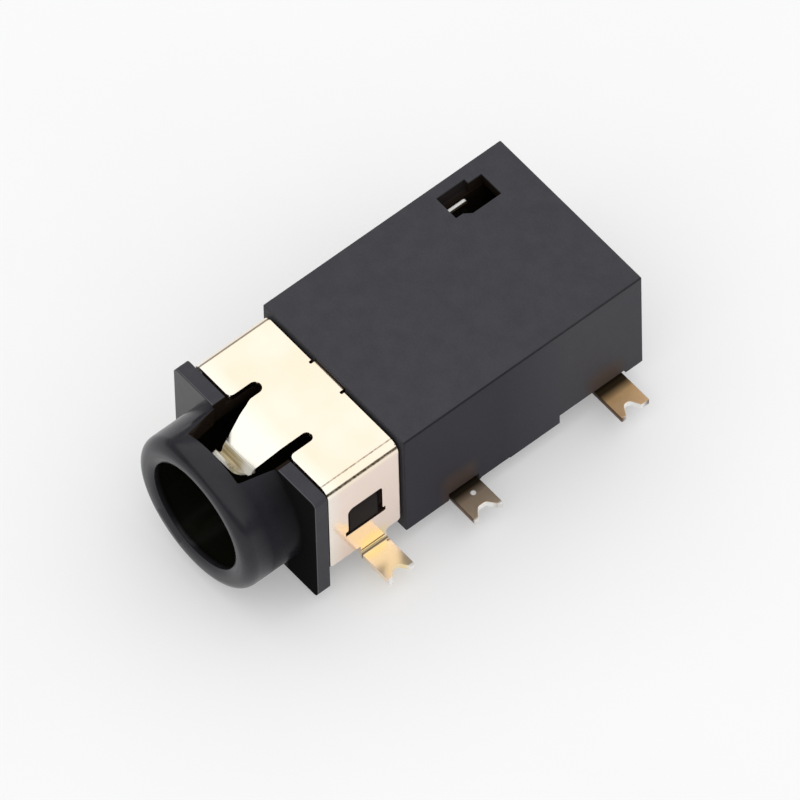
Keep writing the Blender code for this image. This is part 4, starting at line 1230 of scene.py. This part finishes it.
def contact_finish():
    """Thin gold over bronze, greyer in front and softer than the shell's plating, with painted shade at the
    feet's roots and inside the housing, and a painted glint and highlight.
    """
    finish = Finish("satin_contact_plate", 0.4, 1.0)
    finish.read_axes()
    tone = finish.rise(finish.noise(0.4 * mm, 3.0, 0.6), 0.3, 0.7)
    worn = finish.spread(finish.from_middle, FOOT_REACH - 0.7 * mm, FOOT_REACH, 0.0, 0.6)
    gold = finish.mix(worn, finish.mix(tone, *GOLD_BRONZE), WORN_BRONZE)
    rear = finish.rise(finish.back, HOUSING_FRONT + 4 * mm, HOUSING_FRONT + 5 * mm)
    plate = finish.mix(rear, finish.mix(tone, *GREY_BRONZE), gold)
    cut_edge = finish.fall(finish.up, SHEET - 0.006 * mm, SHEET - 0.001 * mm)
    plate = finish.mix(cut_edge, plate, CUT_BRONZE)
    # Painted shade: the feet darken towards where they leave the housing
    root = finish.spread(finish.from_middle, HOUSING_SIDE + 0.12 * mm, HOUSING_SIDE + 0.42 * mm,
                         0.97, 0.0)
    plate = finish.mix(root, plate, ROOT_SHADE)
    # Painted shade: the contacts darken high up inside the housing
    buried_shade = finish.spread(finish.up, 2.2 * mm, 2.6 * mm, 0.0, 0.95)
    plate = finish.mix(buried_shade, plate, BURIED_SHADE)

    # Painted glint: a small round white spot on a right foot
    from_glint = finish.hypotenuse(finish.minus(finish.across, HOUSING_SIDE + 0.32 * mm),
                                  finish.minus(finish.back, HOUSING_FRONT + 2.16 * mm))
    painted_glint = finish.fall(from_glint, 0.06 * mm, 0.1 * mm)
    # Painted highlight: the top edge of the tip contact's plate is made white
    plate_top_highlight = finish.rise(finish.up, TIP_PLATE_HEIGHT - 0.05 * mm, TIP_PLATE_HEIGHT - 0.03 * mm)
    plate_top_highlight = finish.both(plate_top_highlight, finish.near(finish.from_middle, PLATE_OUTSIDE - 0.08 * mm, 0.06 * mm))
    # Tin, the painted glint and the painted highlight share one near-white, barely metallic colour
    tin_and_highlights = finish.either(painted_glint, tinned_mask(finish, rear, cut_edge), plate_top_highlight)
    finish.feed("Base Color", finish.mix(tin_and_highlights, plate, CONTACT_TIN_AND_HIGHLIGHT))
    finish.feed("Metallic", finish.spread(tin_and_highlights, 0.0, 1.0, 1.0, 0.1))
    grain = finish.spread(finish.noise(0.04 * mm), 0.3, 0.7, 0.34, 0.46)
    finish.feed("Roughness", finish.plus(grain, finish.both(rear, 0.12)))
    finish.bump(finish.noise(0.06 * mm), 0.002 * mm, 0.4)
    return finish.material


def floor_finish():
    """Pale backdrop that glows a little, so that shadows stay light."""
    finish = Finish("pale_floor", 0.7, 0.0)
    finish.shader.inputs["Specular IOR Level"].default_value = 0.1
    finish.shader.inputs["Emission Color"].default_value = (1.0, 1.0, 1.0, 1.0)
    finish.shader.inputs["Emission Strength"].default_value = FLOOR_GLOW
    patches = finish.rise(finish.noise(8 * mm), 0.3, 0.7)
    finish.feed("Base Color", finish.mix(patches, *FLOOR_WHITE))
    return finish.material


# Stage

def view_axes():
    """The camera's right, up and back directions in the photograph."""
    azimuth, elevation, roll = (math.radians(value) for value in (AZIMUTH, ELEVATION, ROLL))
    back = Vector((math.sin(azimuth) * math.cos(elevation), -math.cos(azimuth) * math.cos(elevation),
                   math.sin(elevation)))
    right = Vector((math.cos(azimuth), math.sin(azimuth), 0))
    up = back.cross(right)
    turned_right = math.cos(roll) * right - math.sin(roll) * up
    turned_up = math.sin(roll) * right + math.cos(roll) * up
    return turned_right, turned_up, back


def add_camera():
    right, up, back = view_axes()
    half = IMAGE_WIDTH / 2
    across = (half - KNOWN_PIXEL[0]) / PIXELS_PER_MM * mm
    above = (KNOWN_PIXEL[1] - half) / PIXELS_PER_MM * mm
    centre = KNOWN_CORNER + across * right + above * up
    data = bpy.data.cameras.new("camera")
    data.sensor_width = SENSOR
    data.lens = PIXELS_PER_MM * SENSOR * (CAMERA_DISTANCE / mm) / IMAGE_WIDTH
    data.clip_start = NEAR_CLIP
    data.clip_end = FAR_CLIP
    camera = bpy.data.objects.new("camera", data)
    bpy.context.scene.collection.objects.link(camera)
    turn = Matrix((right, up, back)).transposed().to_4x4()
    camera.matrix_world = Matrix.Translation(centre + CAMERA_DISTANCE * back) @ turn
    bpy.context.scene.camera = camera


def add_floor():
    shape = bmesh.new()
    bmesh.ops.create_grid(shape, x_segments=1, y_segments=1, size=FLOOR_HALF_SIZE)
    bmesh.ops.translate(shape, vec=(0, 0, -PEG_LENGTH), verts=shape.verts)
    floor = mesh_object("floor", shape, floor_finish())


def add_ceiling():
    """A wide square panel of light that faces the part from above."""
    data = bpy.data.lights.new("ceiling", "AREA")
    data.shape = "SQUARE"
    data.size = CEILING_SIZE
    data.energy = CEILING_POWER
    light = bpy.data.objects.new("ceiling", data)
    bpy.context.scene.collection.objects.link(light)
    away = Vector(CEILING_DIRECTION).normalized()
    turn = away.to_track_quat("Z", "Y").to_matrix().to_4x4()
    light.matrix_world = Matrix.Translation(away * CEILING_DISTANCE) @ turn


def add_room():
    """White surroundings, shown with the plain view transform."""
    world = bpy.data.worlds.new("studio")
    bpy.context.scene.world = world
    world.use_nodes = True
    background = world.node_tree.nodes["Background"]
    background.inputs["Color"].default_value = (1.0, 1.0, 1.0, 1.0)
    background.inputs["Strength"].default_value = ROOM_LIGHT
    bpy.context.scene.view_settings.view_transform = "Standard"


def build():
    add_camera()
    add_floor()
    add_ceiling()
    add_room()
    moulding = insulator_moulding(moulding_finish())
    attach(moulding, "root")
    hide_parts("insulator")
    shell = shell_sheet(shell_finish())
    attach(shell, "root")
    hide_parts("ground_shell")
    plate = contact_finish()
    for row in CONTACTS:
        strip = contact_strip(*row, plate)
        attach(strip, "root")
        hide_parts(row[0])


build()
